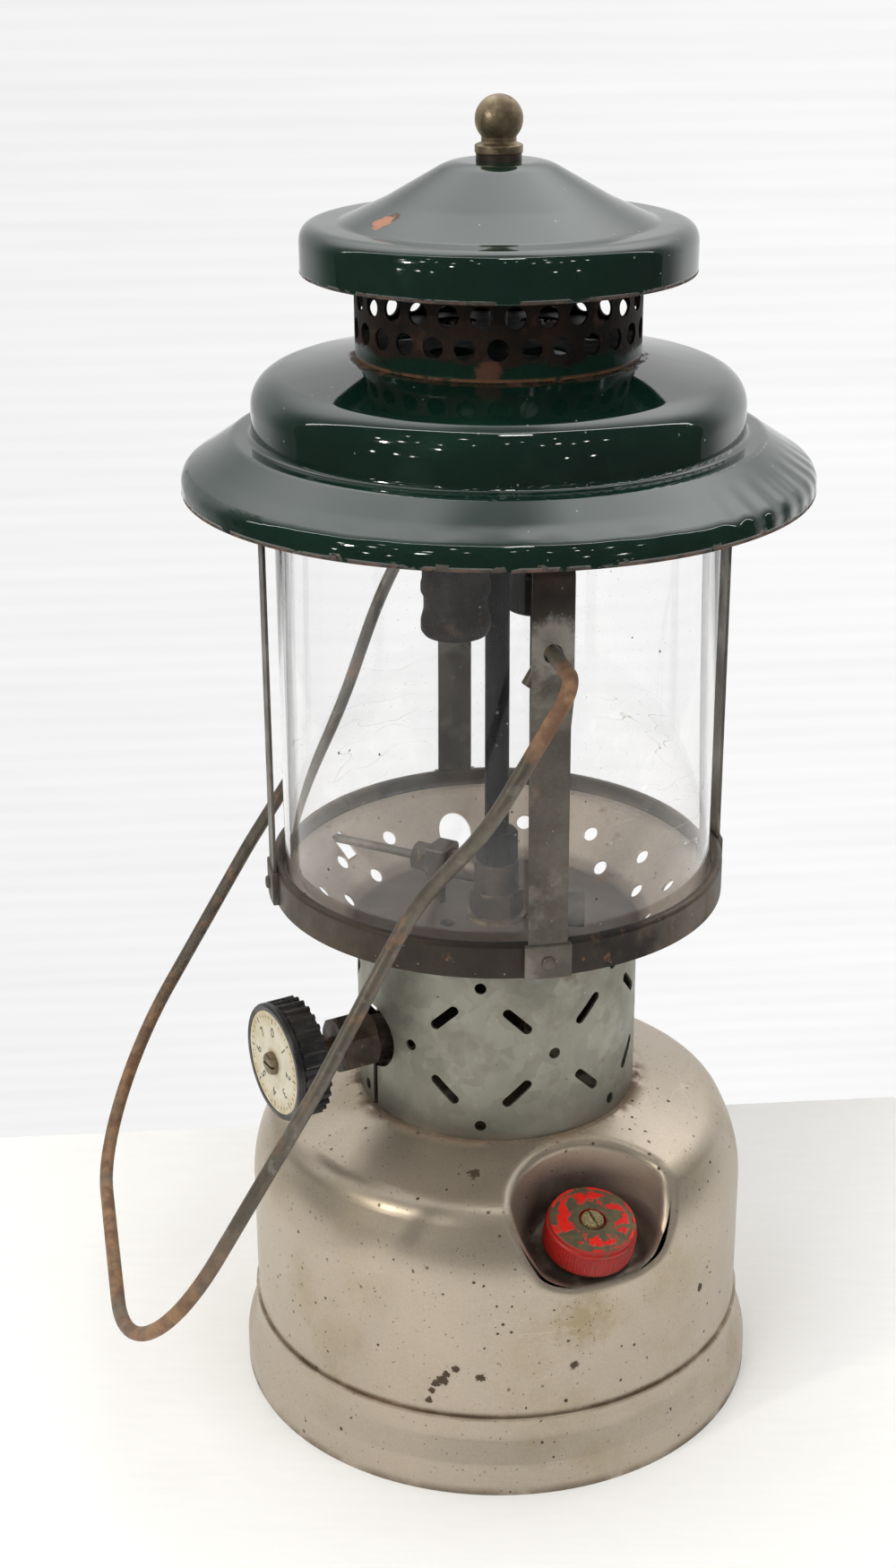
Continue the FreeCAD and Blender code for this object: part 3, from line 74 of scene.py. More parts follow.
class Graph:
    """Short calls for building one node tree; a node stands for its first output."""

    def __init__(self, tree):
        self.tree = tree

    def feed(self, node, values):
        for key, value in values.items():
            socket = node.inputs[key]
            if isinstance(value, bpy.types.Node):
                value = value.outputs[0]
            if isinstance(value, bpy.types.NodeSocket):
                self.tree.links.new(value, socket)
            elif socket.type == "RGBA":
                socket.default_value = (*value, 1.0)
            else:
                socket.default_value = value

    def add(self, kind, values=None, **settings):
        node = self.tree.nodes.new(kind)
        for name, value in settings.items():
            setattr(node, name, value)
        self.feed(node, values or {})
        return node

    def calc(self, operation, a, b=0.0, clamp=False):
        return self.add("ShaderNodeMath", {0: a, 1: b}, operation=operation, use_clamp=clamp)

    def plus(self, a, b):
        return self.calc("ADD", a, b)

    def minus(self, a, b):
        return self.calc("SUBTRACT", a, b)

    def product(self, a, b):
        return self.calc("MULTIPLY", a, b)

    def times(self, *masks):
        """Where all the masks are, kept between 0 and 1."""
        result = masks[0]
        for mask in masks[1:]:
            result = self.calc("MULTIPLY", result, mask, True)
        return result

    def most(self, *masks):
        result = masks[0]
        for mask in masks[1:]:
            result = self.calc("MAXIMUM", result, mask)
        return result

    def vector(self, operation, a, b=(0.0, 0.0, 0.0)):
        node = self.add("ShaderNodeVectorMath", {0: a, 1: b}, operation=operation)
        return node.outputs[1 if operation in MEASURES else 0]

    def parts(self, vector):
        return self.add("ShaderNodeSeparateXYZ", {0: vector}).outputs

    def xyz(self, x=0.0, y=0.0, z=0.0):
        return self.add("ShaderNodeCombineXYZ", {0: x, 1: y, 2: z})

    def blend(self, share, a, b, mode="MIX"):
        """Colour a where share is 0 and colour b where it is 1."""
        settings = {"data_type": "RGBA", "blend_type": mode}
        return self.add("ShaderNodeMix", {0: share, 6: a, 7: b}, **settings).outputs[2]

    def either(self, share, a, b):
        """Surface a where share is 0 and surface b where it is 1."""
        return self.add("ShaderNodeMixShader", {0: share, 1: a, 2: b})

    def ramp(self, value, low, high, start=0.0, stop=1.0):
        """Smooth step of value from low to high, put out as start to stop."""
        values = {"Value": value, "From Min": low, "From Max": high, "To Min": start,
                  "To Max": stop}
        return self.add("ShaderNodeMapRange", values, interpolation_type="SMOOTHSTEP", clamp=True)

    def between(self, mask, low, high):
        return self.ramp(mask, 0.0, 1.0, low, high)

    def noise(self, place, scale, detail=3.0, roughness=0.55):
        values = {"Vector": place, "Scale": scale, "Detail": detail, "Roughness": roughness}
        return self.add("ShaderNodeTexNoise", values)

    def cells(self, place, scale):
        """Cells; the first output is the distance from the middle of each."""
        return self.add("ShaderNodeTexVoronoi", {"Vector": place, "Scale": scale})

    def tone(self, cells):
        """One tone for each cell."""
        return self.add("ShaderNodeSeparateColor", {0: cells.outputs["Color"]})

    def call(self, group, values):
        node = self.add("ShaderNodeGroup", node_tree=group)
        self.feed(node, values)
        return node.outputs

    def bump(self, height, distance, normal=None):
        values = {"Height": height, "Distance": distance, "Strength": 1.0}
        if normal is not None:
            values["Normal"] = normal
        return self.add("ShaderNodeBump", values)


def shader_group(name, inputs, outputs, build):
    """A shader node group; build gets its graph, place and inputs and returns what goes out."""
    tree = bpy.data.node_groups.new(name, "ShaderNodeTree")

    def socket(label, side):
        kind = "NodeSocketVector" if label in VECTOR_SOCKETS else "NodeSocketFloat"
        return tree.interface.new_socket(label, in_out=side, socket_type=kind)

    socket("Vector", "INPUT")
    for label, value in inputs.items():
        made = socket(label, "INPUT")
        if value is not None:
            made.default_value = value
    for label in outputs:
        socket(label, "OUTPUT")
    graph = Graph(tree)
    given = graph.add("NodeGroupInput").outputs
    graph.add("NodeGroupOutput", build(graph, given["Vector"], given))
    return tree


def build_patches(graph, place, given):
    noise = graph.noise(place, given["Scale"], given["Detail"], 0.62)
    low = graph.minus(given["Level"], given["Softness"])
    high = graph.plus(given["Level"], given["Softness"])
    return {"Mask": graph.ramp(noise, low, high)}


def build_pits(graph, place, given):
    cells = graph.cells(place, given["Scale"])
    warp = graph.noise(place, graph.product(given["Scale"], 2.6), 2.0)
    reach = graph.plus(cells, graph.product(warp, 0.30))
    edge = graph.plus(given["Size"], 0.15)
    spot = graph.ramp(reach, edge, graph.minus(edge, 0.05))
    kept = graph.calc("LESS_THAN", graph.tone(cells), given["Share"])
    return {"Mask": graph.product(spot, kept)}


def build_stain(graph, place, given):
    reach = graph.calc("DIVIDE", graph.vector("DISTANCE", place, given["Center"]), given["Size"])
    wobble = graph.minus(graph.noise(place, given["Grain"], 4.0, 0.7), 0.5)
    reach = graph.plus(reach, graph.product(wobble, given["Wobble"]))
    return {"Mask": graph.ramp(reach, 1.0, graph.minus(1.0, given["Softness"]))}


def build_round(graph, place, given):
    x, y, height = graph.parts(place)
    angle = graph.calc("ARCTAN2", y, x)
    radius = graph.vector("LENGTH", graph.xyz(x, y))
    wrapped = graph.xyz(graph.product(angle, 0.06), radius, height)
    return {"Angle": angle, "Radius": radius, "Height": height, "Wrapped": wrapped}


def build_scratches(graph, place, given):
    stretched = graph.vector("MULTIPLY", place, given["Stretch"])
    noise = graph.noise(stretched, given["Scale"], 2.0, 0.4)
    line = graph.ramp(graph.calc("ABSOLUTE", graph.minus(noise, 0.5)), given["Width"], 0.0)
    gaps = graph.noise(place, graph.product(given["Scale"], 0.5), 1.0)
    return {"Mask": graph.product(line, graph.ramp(gaps, 0.5, 0.62))}


PATCHES = shader_group("patches", {"Scale": 30.0, "Detail": 4.0, "Level": 0.5, "Softness": 0.1},
                       ["Mask"], build_patches)
PITS = shader_group("pits", {"Scale": 300.0, "Size": 0.15, "Share": 0.1}, ["Mask"], build_pits)
STAIN = shader_group("stain", {"Center": None, "Size": 0.01, "Grain": 200.0, "Wobble": 1.0,
                               "Softness": 0.3}, ["Mask"], build_stain)
ROUND = shader_group("round", {}, ["Angle", "Radius", "Height", "Wrapped"], build_round)
SCRATCHES = shader_group("scratches", {"Stretch": None, "Scale": 100.0, "Width": 0.01},
                         ["Mask"], build_scratches)


class Finish(Graph):
    """A material: one Principled surface, with plain values set on it and linked ones fed to it."""

    def __init__(self, name, color, specular=0.5, **plain):
        self.material = bpy.data.materials.new(name)
        self.material.use_nodes = True
        self.material.node_tree.nodes.clear()
        super().__init__(self.material.node_tree)
        plain["Specular IOR Level"] = specular
        self.surface = self.add("ShaderNodeBsdfPrincipled", plain)
        self.out = self.add("ShaderNodeOutputMaterial", {0: self.surface})
        self.place = self.add("ShaderNodeTexCoord").outputs["Object"]
        self.color = self.add("ShaderNodeRGB").outputs[0]
        self.color.default_value = (*color, 1.0)
        self.rough = self.metal = self.normal = None

    def patches(self, scale, level=0.5, softness=0.1, detail=4.0):
        return self.call(PATCHES, {"Vector": self.place, "Scale": scale, "Level": level,
                                   "Softness": softness, "Detail": detail})[0]

    def pits(self, scale, size=0.15, share=0.1):
        return self.call(PITS, {"Vector": self.place, "Scale": scale, "Size": size,
                                "Share": share})[0]

    def stain(self, center, size, grain=200.0, wobble=1.0, softness=0.3):
        return self.call(STAIN, {"Vector": self.place, "Center": center, "Size": size,
                                 "Grain": grain, "Wobble": wobble, "Softness": softness})[0]

    def scratches(self, place, scale, stretch, width):
        return self.call(SCRATCHES, {"Vector": place, "Scale": scale, "Stretch": stretch,
                                     "Width": width})[0]

    def round(self):
        return self.call(ROUND, {"Vector": self.place})

    def coat(self, mask, color, share=1.0):
        """Lay a colour over what is there, where the mask says."""
        self.color = self.blend(self.times(mask, share), self.color, color)

    def mottle(self, color, share, *patch):
        self.coat(self.patches(*patch), color, share)

    def fleck(self, color, share, *pit):
        self.coat(self.pits(*pit), color, share)

    def shade(self, mask, low, high):
        """Scale the colour's brightness between low and high by the mask."""
        level = self.between(mask, low, high)
        tone = self.add("ShaderNodeCombineColor", {0: level, 1: level, 2: level})
        self.color = self.blend(1.0, self.color, tone, "MULTIPLY")

    def grain(self, scale, detail, low, high):
        """Fine grain that shades the colour; it is given back for the bump."""
        noise = self.noise(self.place, scale, detail)
        self.shade(noise, low, high)
        return noise

    def done(self):
        fed = {"Base Color": self.color, "Roughness": self.rough, "Metallic": self.metal,
               "Normal": self.normal}
        self.feed(self.surface, {key: value for key, value in fed.items() if value is not None})
        return self.material


# ---------------------------------------------------------------- finishes
def on_wall(x, height):
    """A place on the front of the fount's upright wall."""
    return x, -math.sqrt(FOUNT_R ** 2 - x * x), height


def off_filler(look):
    """Height above the filler's floor and distance from its axis."""
    foot = polar(FILLER_FLOOR[0], FILLER_TURN, FILLER_FLOOR[1])
    arm = look.vector("SUBTRACT", look.place, foot)
    across = look.vector("CROSS_PRODUCT", arm, FILLER_AXIS)
    return look.vector("DOT_PRODUCT", arm, FILLER_AXIS), look.vector("LENGTH", across)


def worn_nickel():
    look = Finish("worn_nickel", (0.5, 0.428, 0.345), 0.25)
    around = look.round()
    radius, height = around["Radius"], around["Height"]
    clouds = look.patches(13.0, 0.5, 0.28, 5.0)
    look.coat(clouds, (0.43, 0.372, 0.3), 0.75)
    haze = look.patches(34.0, 0.6, 0.12, 6.0)
    look.coat(haze, (0.4, 0.33, 0.21), 0.45)
    grain = look.grain(1300.0, 2.0, 0.9, 1.08)
    crowd = look.patches(24.0, 0.47, 0.1)
    pits = look.most(look.times(look.pits(260.0, 0.14, 0.62), crowd),
                     look.product(look.pits(640.0, 0.15, 0.32), 0.8))
    chips = [look.stain(*chip) for chip in (
        ((-0.0059, -0.0537, 0.0922), 0.0022, 800.0, 2.2, 0.3),
        (on_wall(-0.0113, 0.0402), 0.0013, 900.0, 2.2, 0.2),
        (on_wall(-0.0138, 0.0381), 0.0012, 900.0, 2.4, 0.2),
        (on_wall(-0.0150, 0.0359), 0.0017, 800.0, 2.2, 0.2),
        (on_wall(-0.0170, 0.0344), 0.0013, 900.0, 2.2, 0.2),
        (on_wall(-0.0180, 0.0318), 0.0011, 900.0, 2.2, 0.2),
        (on_wall(-0.0190, 0.0284), 0.0012, 900.0, 2.2, 0.2),
        (on_wall(-0.0042, 0.0378), 0.0015, 800.0, 2.4, 0.2),
        (on_wall(0.0225, 0.0400), 0.0017, 500.0, 1.4, 0.5),
        (on_wall(0.0600, 0.0480), 0.0014, 800.0, 2.0, 0.2),
        ((-0.0300, 0.0680, 0.0420), 0.0034, 600.0, 2.2, 0.2),
        ((0.0420, 0.0480, 0.0860), 0.0030, 700.0, 1.8, 0.3))]
    stain = look.stain((0.0245, -0.0701, 0.0540), 0.0120, 300.0, 1.7, 0.8)
    look.coat(stain, (0.3, 0.235, 0.11), 0.5)
    spatter = look.times(look.pits(900.0, 0.2, 0.45), look.ramp(stain, 0.05, 0.6))
    collar_dirt = look.times(look.ramp(radius, 0.0475, 0.0415), look.ramp(height, 0.090, 0.094),
                             look.patches(120.0, 0.46, 0.1))
    look.coat(collar_dirt, (0.17, 0.1, 0.055), 0.75)
    seam = look.times(look.ramp(height, 0.0228, 0.0240), look.ramp(height, 0.0262, 0.0246),
                      look.patches(90.0, 0.42, 0.2))
    look.coat(seam, (0.16, 0.11, 0.06), 0.7)
    foot = look.times(look.ramp(height, 0.0035, 0.0), look.patches(70.0, 0.42, 0.15))
    look.coat(foot, (0.13, 0.1, 0.07), 0.8)
    look.coat(look.scratches(look.place, 26.0, (1.0, 1.0, 9.0), 0.006), (0.62, 0.56, 0.48), 0.3)
    under = look.times(look.ramp(radius, 0.0735, 0.0725), look.ramp(height, 0.0158, 0.0150))
    look.coat(look.times(under, look.patches(60.0, 0.48, 0.12)), (0.2, 0.12, 0.07), 0.7)
    # Dark brown coat inside the filler well: dirt, and painted shade in the recess.
    well_dirt_and_shade = look.times(look.ramp(off_filler(look)[1], 0.0212, 0.0155),
                      look.ramp(radius, 0.0740, 0.0728), look.patches(60.0, 0.36, 0.2, 5.0))
    look.coat(well_dirt_and_shade, (0.04, 0.029, 0.024), 0.9)
    pale = look.times(look.pits(560.0, 0.13, 0.14), look.patches(30.0, 0.52, 0.1))
    look.coat(pale, (0.7, 0.64, 0.52), 0.55)
    dark = look.most(pits, spatter, *chips)
    look.coat(dark, (0.045, 0.028, 0.013), 0.94)
    dull = look.most(dark, look.product(collar_dirt, 0.8), look.product(foot, 0.6))
    look.metal = look.between(dull, 0.78, 0.1)
    worn = look.plus(look.product(haze, 0.1), look.product(clouds, 0.07))
    worn = look.plus(worn, look.product(grain, 0.06))
    look.rough = look.plus(worn, look.between(dull, 0.31, 0.7))
    skin = look.bump(look.noise(look.place, 22.0, 2.0), 0.00045)
    skin = look.bump(grain, 0.000012, skin)
    look.normal = look.bump(look.product(dark, -1.0), 0.00012, skin)
    return look.done()


def dull_zinc():
    look = Finish("dull_zinc", (0.28, 0.28, 0.232))
    look.mottle((0.345, 0.34, 0.283), 0.8, 26.0, 0.5, 0.18, 5.0)
    look.shade(look.tone(look.cells(look.place, 260.0)), 0.9, 1.09)
    smudge = look.patches(48.0, 0.58, 0.1, 6.0)
    look.coat(smudge, (0.15, 0.138, 0.105), 0.6)
    look.mottle((0.16, 0.1, 0.06), 0.5, 75.0, 0.66, 0.05, 5.0)
    bright = look.pits(520.0, 0.13, 0.13)
    look.coat(bright, (0.62, 0.62, 0.56), 0.6)
    specks = look.pits(300.0, 0.14, 0.07)
    look.coat(specks, (0.06, 0.05, 0.04), 0.9)
    height = look.round()["Height"]
    # Painted shade: the collar's zinc is darkened smoothly towards its foot.
    look.coat(look.ramp(height, 0.118, 0.096), (0.165, 0.155, 0.125), 0.55)
    foot = look.times(look.ramp(height, 0.1000, 0.0958), look.patches(110.0, 0.45, 0.15))
    look.coat(foot, (0.15, 0.11, 0.075), 0.65)
    look.metal = look.between(look.most(smudge, specks, foot), 0.8, 0.4)
    look.rough = look.between(look.patches(60.0, 0.5, 0.3), 0.42, 0.58)
    skin = look.bump(look.noise(look.place, 90.0, 3.0), 0.0001)
    grain = look.noise(look.place, 1500.0, 2.0)
    look.normal = look.bump(look.plus(look.product(grain, 0.4), bright), 0.00004, skin)
    return look.done()


def browned_pan():
    look = Finish("browned_pan", (0.52, 0.445, 0.375))
    around = look.round()
    radius = around["Radius"]
    look.mottle((0.43, 0.365, 0.305), 0.9, 22.0, 0.5, 0.2, 5.0)
    look.coat(look.ramp(radius, 0.0425, 0.0405), (0.085, 0.068, 0.058), 0.9)
    crease = look.times(look.ramp(radius, 0.0385, 0.0412), look.ramp(radius, 0.0450, 0.0425))
    look.coat(crease, (0.13, 0.1, 0.085), 0.6)
    rim = look.ramp(radius, 0.0610, 0.0625)
    look.coat(rim, (0.08, 0.064, 0.05), 1.0)
    look.coat(look.times(rim, look.patches(46.0, 0.52, 0.08, 6.0)), (0.12, 0.092, 0.066), 0.8)
    look.coat(look.times(rim, look.patches(30.0, 0.6, 0.06, 6.0)), (0.026, 0.022, 0.019), 0.9)
    # Painted shade: the rim is darkened towards the front.
    front = look.calc("ABSOLUTE", look.plus(around["Angle"], math.pi / 2))
    look.coat(look.times(rim, look.ramp(front, 0.95, 0.3)), (0.022, 0.018, 0.015), 0.75)
    look.coat(look.times(rim, look.pits(520.0, 0.15, 0.1)), (0.36, 0.34, 0.3), 0.6)
    rust = look.most(look.patches(95.0, 0.66, 0.05, 6.0), look.pits(300.0, 0.16, 0.12))
    look.coat(rust, (0.155, 0.07, 0.03), 0.7)
    grain = look.grain(800.0, 3.0, 0.88, 1.1)
    look.metal = look.between(rust, 0.6, 0.15)
    look.rough = look.between(look.patches(60.0, 0.5, 0.3), 0.4, 0.62)
    skin = look.bump(look.noise(look.place, 70.0, 3.0), 0.00018)
    look.normal = look.bump(look.plus(grain, rust), 0.00005, skin)
    return look.done()


def cage_steel():
    look = Finish("cage_steel", (0.15, 0.135, 0.115))
    look.mottle((0.1, 0.088, 0.074), 0.9, 40.0, 0.5, 0.16, 5.0)
    look.mottle((0.235, 0.215, 0.185), 0.7, 70.0, 0.58, 0.07, 6.0)
    # Painted shadow of the brim: the strips are darkened towards their tops.
    look.coat(look.ramp(look.round()["Height"], 0.250, 0.268), (0.018, 0.014, 0.012), 0.88)
    for ear in (EARS_TURN, EARS_TURN - 180.0):
        worn = look.stain(polar(EAR_R, ear, BAIL_PIVOT_Z + 0.002), 0.0095, 420.0, 0.9, 0.5)
        look.coat(worn, (0.36, 0.335, 0.3), 0.85)
        dull = look.stain(polar(EAR_R, ear, BAIL_PIVOT_Z + 0.026), 0.012, 160.0, 0.8, 0.6)
        look.coat(dull, (0.075, 0.052, 0.042), 0.8)
    rust = look.most(look.pits(330.0, 0.17, 0.18), look.patches(150.0, 0.66, 0.04, 5.0))
    look.coat(rust, (0.135, 0.062, 0.03), 0.72)
    look.fleck((0.42, 0.4, 0.35), 0.6, 620.0, 0.14, 0.09)
    grain = look.grain(900.0, 3.0, 0.85, 1.12)
    look.metal = look.between(rust, 0.62, 0.1)
    look.rough = look.between(look.patches(80.0, 0.5, 0.3), 0.4, 0.62)
    skin = look.bump(look.noise(look.place, 160.0, 3.0), 0.00012)
    look.normal = look.bump(look.plus(grain, rust), 0.00006, skin)
    return look.done()


def bail_wire():
    look = Finish("bail_wire", (0.15, 0.134, 0.108))
    look.mottle((0.095, 0.082, 0.064), 0.9, 60.0, 0.5, 0.14, 5.0)
    look.mottle((0.26, 0.24, 0.2), 0.6, 150.0, 0.62, 0.06, 5.0)
    out = polar(BAIL_REACH, EARS_TURN)
    bends = [look.stain((side * out.x - 0.004, side * out.y, BAIL_PIVOT_Z - 0.006), 0.019,
                        160.0, 0.9, 0.6) for side in (1.0, -1.0)]
    low = look.times(look.ramp(look.round()["Height"], 0.115, 0.070),
                     look.patches(70.0, 0.4, 0.16, 5.0))
    flecks = look.patches(95.0, 0.6, 0.06, 6.0)
    rust = look.most(look.product(look.most(*bends), 0.95), low, look.product(flecks, 0.7))
    tint = look.blend(look.patches(170.0, 0.5, 0.14), (0.3, 0.165, 0.08), (0.145, 0.068, 0.034))
    look.coat(rust, tint, 0.85)
    grain = look.grain(900.0, 3.0, 0.84, 1.14)
    look.metal = look.between(rust, 0.55, 0.08)
    look.rough = look.between(rust, 0.46, 0.72)
    look.normal = look.bump(look.plus(grain, look.noise(look.place, 260.0, 3.0)), 0.00012)
    return look.done()


def green_enamel():
    look = Finish("green_enamel", (0.004, 0.0175, 0.0115), IOR=1.8)
    around = look.round()
    radius, height, angle = around["Radius"], around["Height"], around["Angle"]
    look.mottle((0.003, 0.0118, 0.0084), 1.0, 16.0, 0.5, 0.2, 3.0)
    fade = look.patches(40.0, 0.62, 0.12, 5.0)
    look.coat(fade, (0.016, 0.042, 0.029), 0.28)
    look.fleck((0.3, 0.32, 0.27), 0.5, 420.0, 0.14, 0.06)
    chip = look.stain((-0.0296, -0.0214, 0.3524), 0.0034, 520.0, 1.6, 0.12)
    nick = look.stain((-0.0268, -0.0212, 0.3532), 0.0020, 700.0, 1.6, 0.12)
    neck = look.times(look.ramp(radius, 0.0412, 0.0388), look.ramp(height, 0.311, 0.3125),
                      look.ramp(height, 0.319, 0.3175), look.patches(110.0, 0.5, 0.05, 6.0))
    brim_edge = look.times(look.ramp(height, 0.28045, 0.27965),
                           look.patches(120.0, 0.44, 0.06, 6.0))
    cap_edge = look.times(look.ramp(height, 0.3380, 0.3372), look.ramp(height, 0.3340, 0.3350),
                          look.patches(150.0, 0.47, 0.05, 6.0))
    edge_nicks = look.times(look.ramp(height, 0.2815, 0.2795),
                            look.patches(170.0, 0.6, 0.03, 5.0))
    bare = look.most(chip, nick, neck, brim_edge, cap_edge, edge_nicks)
    rust = look.blend(look.patches(300.0, 0.5, 0.14), (0.1, 0.045, 0.024), (0.022, 0.014, 0.01))
    look.coat(bare, rust)
    look.coat(chip, (0.36, 0.155, 0.085), 0.9)
    look.rough = look.plus(look.between(bare, 0.045, 0.7), look.product(fade, 0.06))
    lay = look.bump(look.noise(look.place, 34.0, 1.0, 0.3), 0.00045)
    wave = look.calc("SINE", look.product(angle, 58.0))
    beaten = look.times(look.ramp(radius, 0.0740, 0.0835), look.ramp(angle, -0.95, -0.7),
                        look.ramp(angle, 0.15, -0.25))
    lay = look.bump(look.product(wave, beaten), 0.00016, lay)
    roll = look.times(look.ramp(radius, 0.0790, 0.0845),
                      look.noise(around["Wrapped"], 95.0, 1.0))
    lay = look.bump(roll, 0.00045, lay)
    look.normal = look.bump(look.product(bare, -1.0), 0.00022, lay)
    return look.done()


def burnt_band():
    look = Finish("burnt_band", (0.0085, 0.0062, 0.005), 0.22)
    height = look.round()["Height"]
    look.mottle((0.02, 0.0105, 0.0075), 0.9, 55.0, 0.5, 0.1, 6.0)
    look.mottle((0.07, 0.03, 0.018), 0.45, 130.0, 0.62, 0.05, 5.0)
    edge = look.plus(height, look.product(look.noise(look.place, 70.0, 4.0), 0.012))
    kept = look.ramp(edge, 0.3262, 0.3240)
    look.coat(kept, (0.005, 0.019, 0.013))
    streak = look.stain((-0.0025, -0.0384, 0.3170), 0.0042, 300.0, 1.2, 0.5)
    look.coat(streak, (0.085, 0.036, 0.022), 0.8)
    seam = look.times(look.ramp(height, 0.3158, 0.3150), look.patches(140.0, 0.44, 0.08, 5.0))
    look.coat(seam, (0.13, 0.06, 0.03), 0.8)
    burnt = look.most(look.minus(1.0, kept), streak, seam)
    look.rough = look.between(burnt, 0.1, 0.62)
    grain = look.grain(700.0, 4.0, 0.75, 1.25)
    look.normal = look.bump(look.times(grain, burnt), 0.00022)
    return look.done()


def aged_brass():
    look = Finish("aged_brass", (0.31, 0.245, 0.16))
    look.mottle((0.14, 0.104, 0.066), 0.9, 150.0, 0.5, 0.1, 5.0)
    rubbed = look.stain((-0.0035, -0.0015, 0.3795), 0.0050, 500.0, 0.9, 0.8)
    look.coat(rubbed, (0.46, 0.38, 0.25), 0.75)
    look.fleck((0.5, 0.43, 0.32), 0.7, 650.0, 0.16, 0.14)
    look.fleck((0.04, 0.028, 0.018), 0.8, 520.0, 0.14, 0.1)
    grain = look.grain(2400.0, 3.0, 0.8, 1.2)
    look.metal = look.between(rubbed, 0.78, 0.92)
    look.rough = look.between(look.patches(260.0, 0.5, 0.2), 0.36, 0.56)
    look.normal = look.bump(grain, 0.00005, look.bump(look.noise(look.place, 500.0), 0.0001))
    return look.done()


def grainy_brass():
    look = Finish("grainy_brass", (0.5, 0.4, 0.2))
    lumps = look.minus(1.0, look.cells(look.place, 2600.0))
    look.shade(lumps, 0.25, 1.25)
    look.mottle((0.85, 0.8, 0.6), 0.7, 700.0, 0.62, 0.05)
    look.metal = look.between(lumps, 0.45, 0.95)
    look.rough = look.between(lumps, 0.6, 0.3)
    look.normal = look.bump(lumps, 0.0003)
    return look.done()


def black_brass():
    look = Finish("black_brass", (0.06, 0.048, 0.04))
    look.mottle((0.105, 0.078, 0.058), 0.8, 90.0, 0.5, 0.12, 5.0)
    look.mottle((0.2, 0.15, 0.09), 0.6, 210.0, 0.64, 0.05, 5.0)
    near = look.ramp(look.round()["Radius"], 0.0545, 0.0565)
    look.coat(look.times(near, look.patches(120.0, 0.45, 0.12)), (0.115, 0.06, 0.04), 0.8)
    grain = look.grain(1100.0, 3.0, 0.8, 1.2)
    look.metal = look.between(look.patches(120.0), 0.55, 0.8)
    look.rough = look.between(look.patches(140.0, 0.5, 0.2), 0.36, 0.58)
    look.normal = look.bump(grain, 0.00007, look.bump(look.noise(look.place, 300.0), 0.00012))
    return look.done()


def sooty_iron():
    look = Finish("sooty_iron", (0.014, 0.012, 0.011), 0.12)
    look.mottle((0.032, 0.028, 0.025), 0.8, 60.0, 0.5, 0.14, 5.0)
    look.coat(look.ramp(look.round()["Height"], 0.245, 0.205), (0.085, 0.076, 0.068), 0.75)
    look.mottle((0.075, 0.045, 0.028), 0.5, 200.0, 0.62, 0.06, 5.0)
    grain = look.grain(900.0, 4.0, 0.8, 1.25)
    look.metal = look.between(look.patches(90.0), 0.1, 0.3)
    look.rough = look.between(look.patches(110.0, 0.5, 0.2), 0.55, 0.75)
    look.normal = look.bump(grain, 0.00014, look.bump(look.noise(look.place, 220.0), 0.0002))
    return look.done()


def black_steel():
    look = Finish("black_steel", (0.005, 0.005, 0.007), 0.12)
    look.mottle((0.02, 0.017, 0.016), 0.8, 120.0, 0.6, 0.1, 5.0)
    look.fleck((0.06, 0.05, 0.042), 0.6, 380.0, 0.16, 0.06)
    grain = look.grain(900.0, 3.0, 0.8, 1.25)
    look.metal = look.between(look.patches(90.0), 0.1, 0.3)
    look.rough = look.between(look.patches(110.0, 0.5, 0.2), 0.5, 0.66)
    look.normal = look.bump(grain, 0.0001)
    return look.done()


def plain_metal(name, color, second, rough):
    look = Finish(name, color)
    look.mottle(second, 0.8, 70.0, 0.5, 0.16, 5.0)
    grain = look.noise(look.vector("MULTIPLY", look.place, (1.0, 1.0, 0.1)), 1500.0, 3.0)
    look.shade(grain, 0.85, 1.12)
    look.metal = look.between(look.patches(120.0, 0.55), 0.95, 0.75)
    look.rough = look.between(look.patches(90.0, 0.5, 0.2), rough, rough + 0.16)
    look.normal = look.bump(grain, 0.00003)
    return look.done()


def black_phenolic():
    look = Finish("black_phenolic", (0.012, 0.012, 0.013))
    look.mottle((0.028, 0.025, 0.023), 0.8, 120.0, 0.54, 0.1, 5.0)
    look.mottle((0.085, 0.06, 0.048), 0.6, 330.0, 0.66, 0.05, 5.0)
    look.fleck((0.15, 0.14, 0.13), 0.5, 700.0, 0.16, 0.1)
    look.rough = look.between(look.patches(160.0, 0.5, 0.2), 0.26, 0.48)
    look.normal = look.bump(look.noise(look.place, 700.0, 4.0), 0.00008)
    return look.done()


def cream_lacquer():
    look = Finish("cream_lacquer", (0.57, 0.535, 0.435))
    look.mottle((0.48, 0.42, 0.29), 0.8, 140.0, 0.52, 0.14, 5.0)
    middle = polar(WHEEL_FACE + 0.0006, VALVE_TURN, VALVE_Z)
    reach = look.vector("DISTANCE", look.place, middle)
    edge = look.ramp(reach, 0.0095, 0.0150)
    look.coat(look.times(edge, look.patches(230.0, 0.45, 0.14, 5.0)), (0.42, 0.33, 0.16), 0.75)
    look.coat(look.ramp(reach, 0.0048, 0.0034), (0.4, 0.33, 0.2), 0.6)
    look.fleck((0.1, 0.075, 0.045), 0.7, 650.0, 0.17, 0.16)
    look.rough = look.between(look.patches(200.0, 0.5, 0.2), 0.38, 0.6)
    look.normal = look.bump(look.noise(look.place, 500.0, 4.0), 0.00006)
    return look.done()


